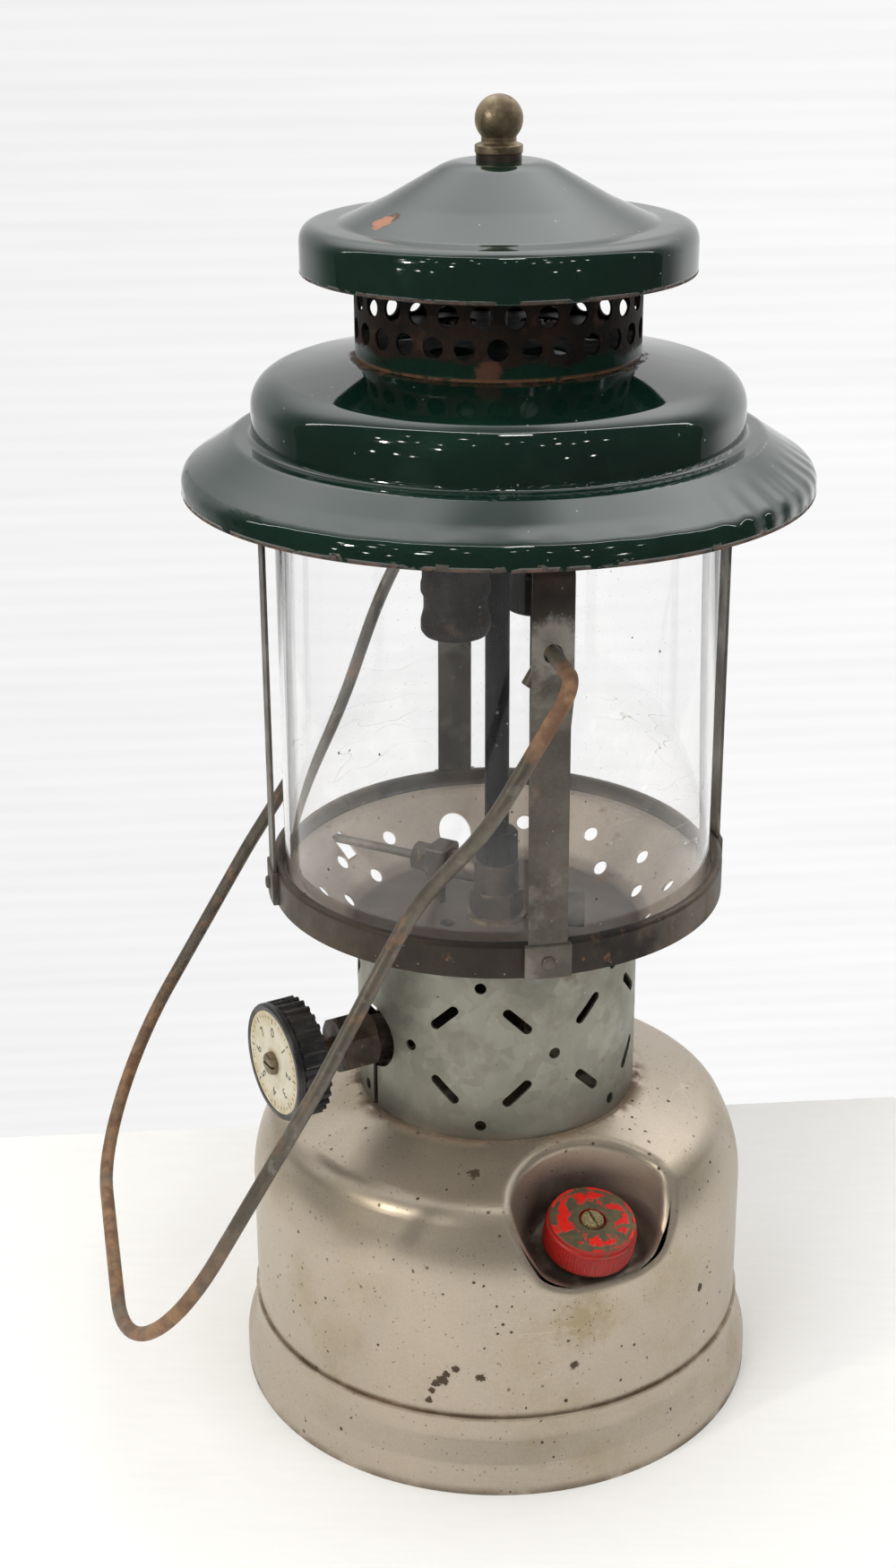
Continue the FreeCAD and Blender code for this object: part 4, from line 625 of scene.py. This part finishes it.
def chipped_red():
    """Red paint over greenish brass: mostly worn off the top, and duller on the knurled side, where
    the red is also painted darker as shade.
    """
    look = Finish("chipped_red", (0.155, 0.125, 0.07), 0.3)
    look.mottle((0.095, 0.095, 0.06), 0.9, 300.0, 0.5, 0.14, 4.0)
    rise, reach = off_filler(look)
    top = look.ramp(rise, 0.01120, 0.01145)
    side = look.minus(1.0, top)
    groove = look.times(look.ramp(reach, 0.0101, 0.0105), look.ramp(reach, 0.0117, 0.0113),
                        look.patches(260.0, 0.4, 0.1))
    on_top = look.times(top, look.patches(235.0, 0.505, 0.025, 4.0),
                        look.ramp(reach, 0.0052, 0.0074), look.minus(1.0, groove))
    on_side = look.times(side, look.minus(1.0, look.patches(420.0, 0.63, 0.04, 5.0)))
    paint = look.most(on_top, on_side)
    # Painted shade: the knurled side gets a darker copy of the top's red.
    red = look.blend(side, (0.66, 0.014, 0.009), (0.32, 0.013, 0.009))
    dark = look.product(look.patches(190.0, 0.5, 0.2), 0.45)
    look.coat(paint, look.blend(dark, red, (0.24, 0.014, 0.011)))
    look.coat(look.ramp(rise, 0.0030, 0.0016), (0.06, 0.015, 0.012), 0.6)
    look.metal = look.between(paint, 0.75, 0.0)
    look.rough = look.plus(look.between(paint, 0.48, 0.26), look.product(side, 0.12))
    skin = look.bump(paint, 0.00006)
    look.normal = look.bump(look.noise(look.place, 900.0, 3.0), 0.00006, skin)
    return look.done()


def soft_finish(name, color, second, scale, rough, depth):
    look = Finish(name, color)
    look.mottle(second, 0.8, scale, 0.5, 0.14, 5.0)
    grain = look.grain(scale * 12.0, 4.0, 0.85, 1.15)
    look.rough = look.between(look.patches(scale * 2.0), rough, rough + 0.15)
    look.normal = look.bump(grain, depth)
    return look.done()


def clear_glass():
    """Clear glass; lamps shine straight through it."""
    look = Finish("clear_glass", (1.0, 1.0, 1.0),
                  **{"Transmission Weight": 1.0, "IOR": 1.36, "Metallic": 0.0})
    look.rough = look.between(look.patches(30.0, 0.6, 0.2, 5.0), 0.0, 0.035)
    clear = look.add("ShaderNodeBsdfTransparent", {0: (0.96, 0.965, 0.96)})
    shadow = look.add("ShaderNodeLightPath").outputs["Is Shadow Ray"]
    look.feed(look.out, {0: look.either(shadow, look.surface, clear)})
    return look.done()


def glass_film():
    """Thin dirt on the glass: a haze that thickens downwards, smears, and fine scratches."""
    look = Finish("glass_film", (0.8, 0.79, 0.77), 0.1)
    around = look.round()
    height = around["Height"]
    smear = look.patches(30.0, 0.52, 0.2, 6.0)
    haze = look.product(look.ramp(height, 0.255, 0.172, 0.001, 0.013),
                        look.between(smear, 0.55, 1.25))
    dust = look.times(look.pits(950.0, 0.13, 0.22), look.patches(16.0, 0.47, 0.12, 3.0))
    dots = look.most(look.product(look.pits(430.0, 0.09, 0.16), 0.55),
                     look.product(dust, 0.42))
    lines = look.times(look.scratches(around["Wrapped"], 34.0, (1.0, 1.0, 4.0), 0.004),
                       look.ramp(around["Angle"], -1.35, -0.9),
                       look.ramp(height, 0.215, 0.195))
    specks = look.pits(260.0, 0.13, 0.035)
    look.coat(specks, (0.05, 0.045, 0.04))
    veil = look.most(haze, dots, look.product(lines, 0.5), look.product(specks, 0.8))
    look.feed(look.surface, {"Alpha": veil})
    look.rough = look.between(smear, 0.7, 0.95)
    return look.done()


def ink():
    look = Finish("ink", (0.03, 0.027, 0.022))
    look.mottle((0.14, 0.12, 0.08), 0.8, 600.0, 0.55, 0.12)
    look.rough = look.between(look.patches(300.0), 0.5, 0.7)
    return look.done()


ENAMEL = green_enamel()
PHENOLIC = black_phenolic()
RED = chipped_red()
GLASS = clear_glass()
FILM = glass_film()
INK = ink()
GAUZE_WIRE = plain_metal("gauze_wire", (0.17, 0.14, 0.115), (0.09, 0.07, 0.06), 0.45)

DRESSED = (
    (worn_nickel(), "tank_shell base_skirt tank_bottom pump_cap"),
    (dull_zinc(), "collar"),
    (browned_pan(), "pan"),
    (cage_steel(), "cage_strip_front cage_strip_left cage_strip_back cage_strip_right "
                   "cage_ring cage_rivets cleaner_lever"),
    (bail_wire(), "bail"),
    (ENAMEL, "hat vent_cap"),
    (burnt_band(), "vent_band"),
    (aged_brass(), "ball_nut generator_washer filler_neck filler_insert gas_tip wheel_screw"),
    (grainy_brass(), "filler_screw"),
    (black_brass(), "valve_body packing_nut valve_stem tank_bushing jam_nut cleaner_body "
                    "cleaner_nut cap_washer"),
    (sooty_iron(), "mixing_chamber mantle_cap_left mantle_cap_right air_tube"),
    (black_steel(), "generator_tube generator_sleeve heat_baffle"),
    (PHENOLIC, "valve_wheel pump_knob"),
    (cream_lacquer(), "direction_disc"),
    (RED, "filler_cap"),
    (GLASS, "globe"),
    (plain_metal("drawn_brass", (0.6, 0.46, 0.22), (0.48, 0.34, 0.15), 0.28),
     "pump_barrel pump_check_valve fuel_pickup"),
    (plain_metal("drawn_steel", (0.46, 0.45, 0.43), (0.36, 0.34, 0.32), 0.3),
     "pump_rod pump_leather_nut center_stud cleaning_needle"),
    (GAUZE_WIRE, "burner_screen_left burner_screen_right"),
    (soft_finish("seal_rubber", (0.03, 0.03, 0.031), (0.05, 0.048, 0.045), 150.0, 0.6, 0.00008),
     "filler_gasket"),
    (soft_finish("graphite_cord", (0.045, 0.045, 0.048), (0.08, 0.08, 0.085), 240.0, 0.45,
                 0.0001), "valve_packing"),
    (soft_finish("oiled_leather", (0.17, 0.085, 0.04), (0.1, 0.048, 0.022), 110.0, 0.5,
                 0.00012), "pump_leather"),
)
for finish, members in DRESSED:
    for node_name in members.split():
        for slot in NODES[node_name].material_slots:
            slot.material = finish


# ---------------------------------------------------------------- fine pieces
def geometry_group(name, inputs):
    """A geometry node tree with these inputs after its geometry: its graph and inputs."""
    tree = bpy.data.node_groups.new(name, "GeometryNodeTree")
    tree.interface.new_socket("Geometry", in_out="INPUT", socket_type="NodeSocketGeometry")
    for label, kind in (*inputs, ("Material", "Material")):
        tree.interface.new_socket(label, in_out="INPUT", socket_type="NodeSocket" + kind)
    tree.interface.new_socket("Geometry", in_out="OUTPUT", socket_type="NodeSocketGeometry")
    graph = Graph(tree)
    return graph, graph.add("NodeGroupInput").outputs


def close_group(graph, instances, material):
    """End a tree: real geometry in one material."""
    real = graph.add("GeometryNodeRealizeInstances", {0: instances})
    painted = graph.add("GeometryNodeSetMaterial", {"Geometry": real, "Material": material})
    graph.add("NodeGroupOutput", {0: painted})
    return graph.tree


def ring_of(name, inputs, shape, sizes):
    """A tree that stands copies of one shape in a ring, each turned to face outwards."""
    graph, given = geometry_group(name, [("Count", "Int"), ("Ring Radius", "Float"), *inputs])
    ring = graph.add("GeometryNodeMeshCircle", {"Vertices": given["Count"],
                                               "Radius": given["Ring Radius"]})
    single = graph.add(shape, {socket: given[label] for socket, label in sizes.items()})
    x, y, _ = graph.parts(graph.add("GeometryNodeInputPosition"))
    outwards = graph.xyz(z=graph.calc("ARCTAN2", y, x))
    copies = graph.add("GeometryNodeInstanceOnPoints", {
        "Points": ring, "Instance": single, "Rotation": outwards})
    return close_group(graph, copies, given["Material"])


def woven_disc():
    """Two crossing rows of thin waved wires, cut to a round."""
    graph, given = geometry_group("woven_disc", [
        ("Count", "Int"), ("Pitch", "Float"), ("Wire", "Float"), ("Radius", "Float")])
    count, pitch, wire = given["Count"], given["Pitch"], given["Wire"]
    half = graph.product(graph.product(pitch, graph.minus(count, 1.0)), 0.5)
    start = graph.product(half, -1.0)
    both = graph.add("GeometryNodeJoinGeometry")
    for turn, sign in ((0.0, 1.0), (math.pi / 2, -1.0)):
        line = graph.add("GeometryNodeCurvePrimitiveLine", {
            "Start": graph.xyz(start), "End": graph.xyz(half)})
        fine = graph.add("GeometryNodeResampleCurve", {
            "Curve": line, "Count": graph.product(count, 4.0)})
        row = graph.add("GeometryNodeMeshLine", {
            "Count": count, "Offset": graph.xyz(y=pitch), "Start Location": graph.xyz(y=start)})
        copies = graph.add("GeometryNodeInstanceOnPoints", {"Points": row, "Instance": fine})
        real = graph.add("GeometryNodeRealizeInstances", {0: copies})
        x, y, _ = graph.parts(graph.add("GeometryNodeInputPosition"))
        phase = graph.calc("DIVIDE", graph.plus(x, y), pitch)
        wave = graph.calc("SINE", graph.product(phase, math.pi))
        lift = graph.product(wave, graph.product(wire, sign))
        raised = graph.add("GeometryNodeSetPosition", {
            "Geometry": real, "Offset": graph.xyz(z=lift)})
        section = graph.add("GeometryNodeCurvePrimitiveCircle", {"Resolution": 5, "Radius": wire})
        tubes = graph.add("GeometryNodeCurveToMesh", {"Curve": raised, "Profile Curve": section})
        crossed = graph.add("GeometryNodeTransform", {
            "Geometry": tubes, "Rotation": (0.0, 0.0, turn)})
        graph.feed(both, {0: crossed})
    reach = graph.vector("LENGTH", graph.add("GeometryNodeInputPosition"))
    outside = graph.calc("GREATER_THAN", reach, given["Radius"])
    cut = graph.add("GeometryNodeDeleteGeometry", {0: both, 1: outside})
    return close_group(graph, cut, given["Material"])


def placed(name, data):
    made = bpy.data.objects.new(name, data)
    bpy.context.scene.collection.objects.link(made)
    return made


def plain_mesh(holder):
    """The mesh of an object as evaluated; the object goes."""
    depsgraph = bpy.context.evaluated_depsgraph_get()
    mesh = bpy.data.meshes.new_from_object(holder.evaluated_get(depsgraph))
    bpy.data.objects.remove(holder)
    return mesh


def grown(name, tree, values):
    """The plain mesh that a geometry tree makes from these values."""
    holder = placed(name, bpy.data.meshes.new(name))
    modifier = holder.modifiers.new(name, "NODES")
    modifier.node_group = tree
    for item in tree.interface.items_tree:
        if item.in_out == "INPUT" and item.name in values:
            modifier[item.identifier] = values[item.name]
    return plain_mesh(holder)


def piece(name, mesh, body, look=None, replaces=(), place=None):
    """One finished piece: its place goes into its mesh, and it rides on a body."""
    if place is not None:
        mesh.transform(place)
    if look is not None:
        mesh.materials.clear()
        mesh.materials.append(look)
    made = placed(name, mesh)
    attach(made, body)
    if replaces:
        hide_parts(*replaces)


def in_mm(corners):
    return [tuple(size * MM for size in corner) for corner in corners]


def softened(corners, steps=6):
    """The closed outline of (radius, height, bend) corners, each rounded by its bend."""
    outline = []
    count = len(corners)
    points = [Vector(corner[:2]) for corner in corners]
    for index, corner in enumerate(points):
        bend = corners[index][2]
        back = points[index - 1] - corner
        ahead = points[(index + 1) % count] - corner
        if bend <= 0.0:
            outline.append(corner)
            continue
        half = back.angle(ahead) / 2
        reach = min(bend / math.tan(half), 0.48 * back.length, 0.48 * ahead.length)
        start = corner + back.normalized() * reach
        stop = corner + ahead.normalized() * reach
        for step in range(steps + 1):
            share = step / steps
            near = start.lerp(corner, share)
            outline.append(near.lerp(corner.lerp(stop, share), share))
    return outline


def turned(outline, steps):
    """A closed mesh: the outline of (radius, height) points turned about the Z axis."""
    vertices = []
    for step in range(steps):
        angle = 2 * math.pi * step / steps
        for radius, height in outline:
            vertices.append((radius * math.cos(angle), radius * math.sin(angle), height))
    size = len(outline)
    faces = []
    for step in range(steps):
        following = (step + 1) % steps
        for index in range(size):
            beyond = (index + 1) % size
            faces.append((step * size + index, following * size + index,
                          following * size + beyond, step * size + beyond))
    mesh = bpy.data.meshes.new("turned")
    mesh.from_pydata(vertices, [], faces)
    mesh.validate()
    mesh.shade_smooth()
    mesh.set_sharp_from_angle(angle=math.radians(35))
    return mesh


def joined(meshes, name):
    """Several meshes as one."""
    whole = bmesh.new()
    for mesh in meshes:
        whole.from_mesh(mesh)
    result = bpy.data.meshes.new(name)
    whole.to_mesh(result)
    whole.free()
    return result


def on_valve(radial):
    """Place of a thing made round +Z, laid along the valve's axis at this distance out."""
    turn = Matrix.Rotation(math.radians(VALVE_TURN), 4, "Z") @ Matrix.Rotation(math.pi / 2, 4, "Y")
    return Matrix.Translation(polar(radial, VALVE_TURN, VALVE_Z)) @ turn


def on_filler(height):
    tilt = Matrix.Rotation(math.radians(FILLER_TURN), 4, "Z")
    tilt = tilt @ Matrix.Rotation(math.radians(FILLER_TILT), 4, "Y")
    foot = Matrix.Translation(polar(FILLER_FLOOR[0], FILLER_TURN, FILLER_FLOOR[1]))
    return foot @ tilt @ Matrix.Translation((0.0, 0.0, height))


RODS = ring_of("ring_of_rods", [("Rod Radius", "Float"), ("Length", "Float"), ("Sides", "Int")],
               "GeometryNodeMeshCylinder",
               {"Vertices": "Sides", "Radius": "Rod Radius", "Depth": "Length"})
BARS = ring_of("ring_of_bars", [("Size", "Vector")], "GeometryNodeMeshCube", {"Size": "Size"})
GAUZE = woven_disc()


def control_wheel():
    """Hand wheel with a plain bead in front and a ribbed rim behind it."""
    back, web, face = -9.5, -3.3, 0.8
    body = turned(softened(in_mm([
        (2.8, back, 0), (6.2, back, 0.5), (6.2, web, 1.5), (15.0, web, 1.5), (15.0, back, 0.6),
        (16.5, back, 0.6), (16.7, -1.6, 0.2), (17.2, -1.2, 0.4), (17.2, 0.2, 0.5),
        (16.7, face, 0.4), (15.3, face, 0.2), (15.2, 0.0, 0), (2.8, 0.0, 0)])), 96)
    ribs = grown("ribs", RODS, {
        "Count": 30, "Ring Radius": 16.35 * MM, "Rod Radius": 0.95 * MM, "Length": 7.7 * MM,
        "Sides": 10, "Material": PHENOLIC})
    ribs.transform(Matrix.Translation((0.0, 0.0, -5.6 * MM)))
    piece("control_wheel", joined([body, ribs], "control_wheel"), "valve_wheel",
          PHENOLIC, ("valve_wheel",), on_valve(WHEEL_FACE))


def dial_marks():
    """Plain ticks and numbers on the disc."""
    numbers, number_size, number_ring = 8, 4.2 * MM, 9.4 * MM
    meshes = [grown(name, BARS, {"Count": count, "Ring Radius": ring * MM,
                                 "Size": (length * MM, width * MM, 0.04 * MM), "Material": INK})
              for name, count, ring, length, width in (
                  ("long_ticks", numbers, 13.2, 1.7, 0.34),
                  ("short_ticks", 40, 13.6, 0.9, 0.20))]
    for number in range(numbers):
        text = bpy.data.curves.new("number", "FONT")
        text.body = str(number)
        text.size = number_size
        text.align_x = "CENTER"
        text.align_y = "CENTER"
        text.extrude = 0.02 * MM
        mesh = plain_mesh(placed("number", text))
        turn = Matrix.Rotation(math.radians(-360.0 / numbers * number), 4, "Z")
        mesh.transform(turn @ Matrix.Translation((0.0, number_ring, 0.0)))
        meshes.append(mesh)
    upright = Matrix.Rotation(math.radians(90.0), 4, "Z")
    piece("dial_marks", joined(meshes, "dial_marks"), "valve_wheel",
          INK, (), on_valve(WHEEL_FACE + 0.63 * MM) @ upright)


def knurled_cap():
    """Ridges round the filler cap's side."""
    ridges = grown("cap_knurl", RODS, {
        "Count": 88, "Ring Radius": 12.92 * MM, "Rod Radius": 0.30 * MM, "Length": 6.6 * MM,
        "Sides": 6, "Material": RED})
    piece("cap_knurl", ridges, "filler_cap", None, (), on_filler(5.3 * MM))


def burner_gauze(side):
    low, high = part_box("burner_screen_" + side)
    mesh = grown("gauze", GAUZE, {
        "Count": 25, "Pitch": 0.74 * MM, "Wire": 0.14 * MM, "Radius": (high.x - low.x) / 2,
        "Material": GAUZE_WIRE})
    piece("gauze_" + side, mesh, "lantern", None, ("burner_screen_" + side,),
          Matrix.Translation((low + high) / 2))


def glass_cylinder():
    """The globe with melted ends, and the film of dirt on it."""
    low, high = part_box("globe")
    outer, wall, melt = high.x, 1.8 * MM, 0.85 * MM
    outline = [(outer - wall, low.z, melt), (outer, low.z, melt), (outer, high.z, melt),
               (outer - wall, high.z, melt)]
    piece("glass_cylinder", turned(softened(outline, 8), 192), "globe", GLASS,
          ("globe",))
    inner, skin, margin = outer + 0.03 * MM, 0.06 * MM, 2 * MM
    bottom, top = low.z + margin, high.z - margin
    film = turned([(inner, bottom), (inner + skin, bottom), (inner + skin, top),
                   (inner, top)], 128)
    piece("glass_dirt", film, "globe", FILM)


def enamelled_cap():
    """Cap with a tall turned-down rim, a narrow ring and a dished crown, in thick enamel."""
    outline = softened(in_mm([
        (52.75, 336.72, 0.45), (52.75, 349.5, 6.2), (42.2, 349.5, 5.0), (30.0, 355.2, 30.0),
        (13.0, 364.88, 13.0), (2.62, 364.88, 0.0), (2.62, 363.75, 0.0), (13.0, 363.75, 12.0),
        (30.0, 354.0, 30.0), (42.2, 348.3, 6.0), (51.55, 348.3, 5.0), (51.55, 336.72, 0.45)]),
        10)
    piece("enamelled_cap", turned(outline, 160), "ventilator", ENAMEL,
          ("vent_cap",))


control_wheel()
dial_marks()
enamelled_cap()
knurled_cap()
burner_gauze("left")
burner_gauze("right")
glass_cylinder()

# ---------------------------------------------------------------- stage, light and camera
PLAIN_WHITE = (0.93, 0.93, 0.93)
RIB_PITCH = 0.0062


def sheet(name, corners, look):
    """One flat face that only the stage uses."""
    mesh = bpy.data.meshes.new(name)
    mesh.from_pydata(corners, [], [(0, 1, 2, 3)])
    mesh.materials.append(look.material)
    made = placed(name, mesh)
    return made


def seen_plainly(look):
    path = look.add("ShaderNodeLightPath").outputs
    return look.most(path["Is Camera Ray"], path["Is Glossy Ray"], path["Is Transmission Ray"])


def glowing(look, color):
    return look.add("ShaderNodeEmission", {0: color, 1: 1.0})


def table():
    """Pale floor: plain white far away, and left out of mirrored rays beyond a near part."""
    look = Finish("white_table", (0.895, 0.897, 0.895), 0.2, Roughness=0.8)
    grain = look.noise(look.vector("MULTIPLY", look.place, (14.0, 90.0, 1.0)), 4.0, 5.0)
    look.shade(grain, 0.975, 1.02)
    look.done()
    away = look.ramp(look.vector("LENGTH", look.place), 0.45, 1.30)
    faded = look.either(look.times(seen_plainly(look), away), look.surface,
                        glowing(look, PLAIN_WHITE))
    x, y, _ = look.parts(look.place)
    kept = look.times(look.ramp(y, -0.52, -0.46), look.ramp(look.calc("ABSOLUTE", x), 0.62, 0.58))
    mirrored = look.add("ShaderNodeLightPath").outputs["Is Glossy Ray"]
    gone = look.product(mirrored, look.minus(1.0, kept))
    clear = look.add("ShaderNodeBsdfTransparent")
    look.feed(look.out, {0: look.either(gone, faded, clear)})
    reach = 6.0
    sheet("floor", [(-reach, -reach, 0), (reach, -reach, 0), (reach, reach, 0),
                    (-reach, reach, 0)], look)


def backdrop():
    """Ribbed white board behind the lantern, seen from its front only."""
    look = Finish("ribbed_board", PLAIN_WHITE, 0.1, Roughness=0.8)
    x, _, z = look.parts(look.place)
    rib = look.calc("SINE", look.product(z, 2 * math.pi / RIB_PITCH))
    smear = look.noise(look.vector("MULTIPLY", look.place, (3.0, 3.0, 40.0)), 3.0, 3.0)
    look.shade(look.ramp(rib, -1.0, 1.0), 0.982, 1.0)
    look.shade(smear, 0.97, 1.03)
    # Painted light: the board is a little darker on its left and towards its top, and lighter on
    # its right.
    look.shade(look.ramp(x, -0.25, 0.20), 0.975, 1.035)
    look.shade(look.ramp(z, 0.20, 0.55), 1.0, 0.965)
    look.done()
    front = look.either(seen_plainly(look), look.surface, glowing(look, look.color))
    behind = look.add("ShaderNodeNewGeometry").outputs["Backfacing"]
    clear = look.add("ShaderNodeBsdfTransparent")
    look.feed(look.out, {0: look.either(behind, front, clear)})
    half, height, slope = 2.2, 0.66, 0.03
    lean = Matrix.Translation((0.0, 0.137, 0.0)) @ Matrix.Rotation(math.radians(5.8), 4, "Z")
    made = sheet("backdrop", [lean @ Vector(corner) for corner in (
        (-half, 0, -0.001), (half, 0, -0.001), (half, slope, height), (-half, slope, height))],
        look)
    made.visible_glossy = False


def lamp(name, place, size, power, aim=(0.0, 0.0, 0.2), glossy=True, tint=(1.0, 0.98, 0.95)):
    data = bpy.data.lights.new(name, "AREA")
    data.shape = "RECTANGLE"
    data.size, data.size_y = size
    data.energy = power
    data.color = tint
    made = placed(name, data)
    made.location = place
    made.rotation_euler = (Vector(aim) - Vector(place)).to_track_quat("-Z", "Y").to_euler()
    made.visible_glossy = glossy


# Lamps of the room that the enamel mirrors: turn from the front, rise and size, in degrees
ROOM_LAMPS = ((-60, 30, 1.0), (-57, -5, 1.0), (-46, 29, 1.2), (-45, -5, 1.0), (-38, 32, 0.6),
              (-37, -6, 0.7), (-27, 30, 0.8), (-12, 33, 0.6), (21, 32, 0.7), (30, 34, 1.1),
              (31, -5, 0.8), (37, 30, 0.6), (45, 33, 1.0), (44, -5, 0.9), (54, 30, 0.8),
              (-50, 47, 0.6), (-20, 52, 0.8), (33, 50, 0.7), (4, 40, 0.7), (12, 45, 0.5))


def surroundings():
    """A pale booth open to a dim room in front, where a few small lamps burn."""
    world = bpy.data.worlds.new("booth")
    bpy.context.scene.world = world
    world.use_nodes = True
    world.node_tree.nodes.clear()
    graph = Graph(world.node_tree)
    way = graph.add("ShaderNodeTexCoord").outputs["Generated"]
    spots = []
    for turn, rise, size in ROOM_LAMPS:
        aim = polar(math.cos(math.radians(rise)), turn - 90.0, math.sin(math.radians(rise)))
        near = graph.vector("DOT_PRODUCT", way, aim)
        spots.append(graph.calc("GREATER_THAN", near, math.cos(math.radians(size))))
    room = graph.blend(graph.most(*spots), (0.060, 0.059, 0.055), (20.0, 19.4, 18.0))
    x, y, z = graph.parts(way)
    rise = graph.calc("MAXIMUM", z, 0.0)
    aside = graph.product(graph.calc("ABSOLUTE", x), -0.31)
    back = graph.plus(graph.plus(y, aside), graph.product(rise, 0.27))
    flat = graph.vector("MULTIPLY", way, (1.0, 1.0, 0.0))
    overhead = graph.vector("DISTANCE", flat, (0.0, 0.03, 0.0))
    roof = graph.ramp(rise, 0.35, 0.80, 0.68, 1.80)
    for share in (graph.ramp(back, 0.02, 0.50, 0.22, 1.0),
                  graph.ramp(overhead, 0.10, 0.30, 0.33, 1.0),
                  graph.ramp(x, -1.0, 1.0, 0.84, 1.50)):
        roof = graph.product(roof, share)
    edge = graph.product(graph.calc("LESS_THAN", back, 0.0),
                         graph.calc("GREATER_THAN", rise, 0.3))
    booth = graph.blend(edge, graph.xyz(roof, roof, roof), (8.0, 8.0, 8.0))
    mirrored = graph.blend(graph.calc("GREATER_THAN", back, -0.024), room, booth)
    path = graph.add("ShaderNodeLightPath").outputs
    soft = graph.blend(path["Is Diffuse Ray"], mirrored, (0.28, 0.28, 0.285))
    through = graph.calc("MAXIMUM", path["Is Camera Ray"], path["Is Transmission Ray"])
    shown = graph.blend(through, soft, PLAIN_WHITE)
    light = graph.add("ShaderNodeBackground", {"Color": shown, "Strength": 1.0})
    graph.add("ShaderNodeOutputWorld", {0: light})


CAMERA_PLACE = (0.0, -0.62268, 0.44311)
CAMERA_TURNS = (-1.30, 22.16, 0.32)
SENSOR = 36.0
LENS = 2600.0 / 1750.0 * SENSOR


def camera():
    """Long lens, a little above the lantern's top and looking down at it."""
    yaw, pitch, roll = (math.radians(angle) for angle in CAMERA_TURNS)
    right = Vector((math.cos(yaw), -math.sin(yaw), 0.0))
    level = Vector((math.sin(yaw), math.cos(yaw), 0.0))
    up = level * math.sin(pitch) + Vector((0, 0, 1)) * math.cos(pitch)
    ahead = level * math.cos(pitch) - Vector((0, 0, 1)) * math.sin(pitch)
    side = right * math.cos(roll) - up * math.sin(roll)
    top = right * math.sin(roll) + up * math.cos(roll)
    data = bpy.data.cameras.new("camera")
    data.sensor_fit = "AUTO"
    data.sensor_width = SENSOR
    data.lens = LENS
    data.clip_start = 0.01
    made = placed("camera", data)
    turn = Matrix((side, top, -ahead)).transposed().to_4x4()
    made.matrix_world = Matrix.Translation(CAMERA_PLACE) @ turn
    bpy.context.scene.camera = made


table()
backdrop()
surroundings()
lamp("key", (-0.9, -1.3, 1.5), (1.0, 1.0), 15.0, glossy=False)
lamp("fill", (1.2, -1.0, 0.9), (1.0, 1.0), 5.8, glossy=False)
lamp("canopy", (0.0, 0.215, 1.70), (1.4, 1.01), 12.4, aim=(0.0, 0.215, 0.0), glossy=False)
lamp("ceiling_bar", (0.14, -0.62, 1.75), (0.28, 0.05), 1.2)
lamp("left_lamp", (-1.16, -0.88, 0.86), (0.07, 0.07), 4.8, aim=(-0.03, -0.06, 0.086),
     tint=(1.0, 0.97, 0.86))
lamp("front_lamp", (-0.62, -1.28, 0.68), (0.04, 0.04), 0.35, aim=(0.0, -0.07, 0.08))
camera()
bpy.context.scene.view_settings.view_transform = "Standard"
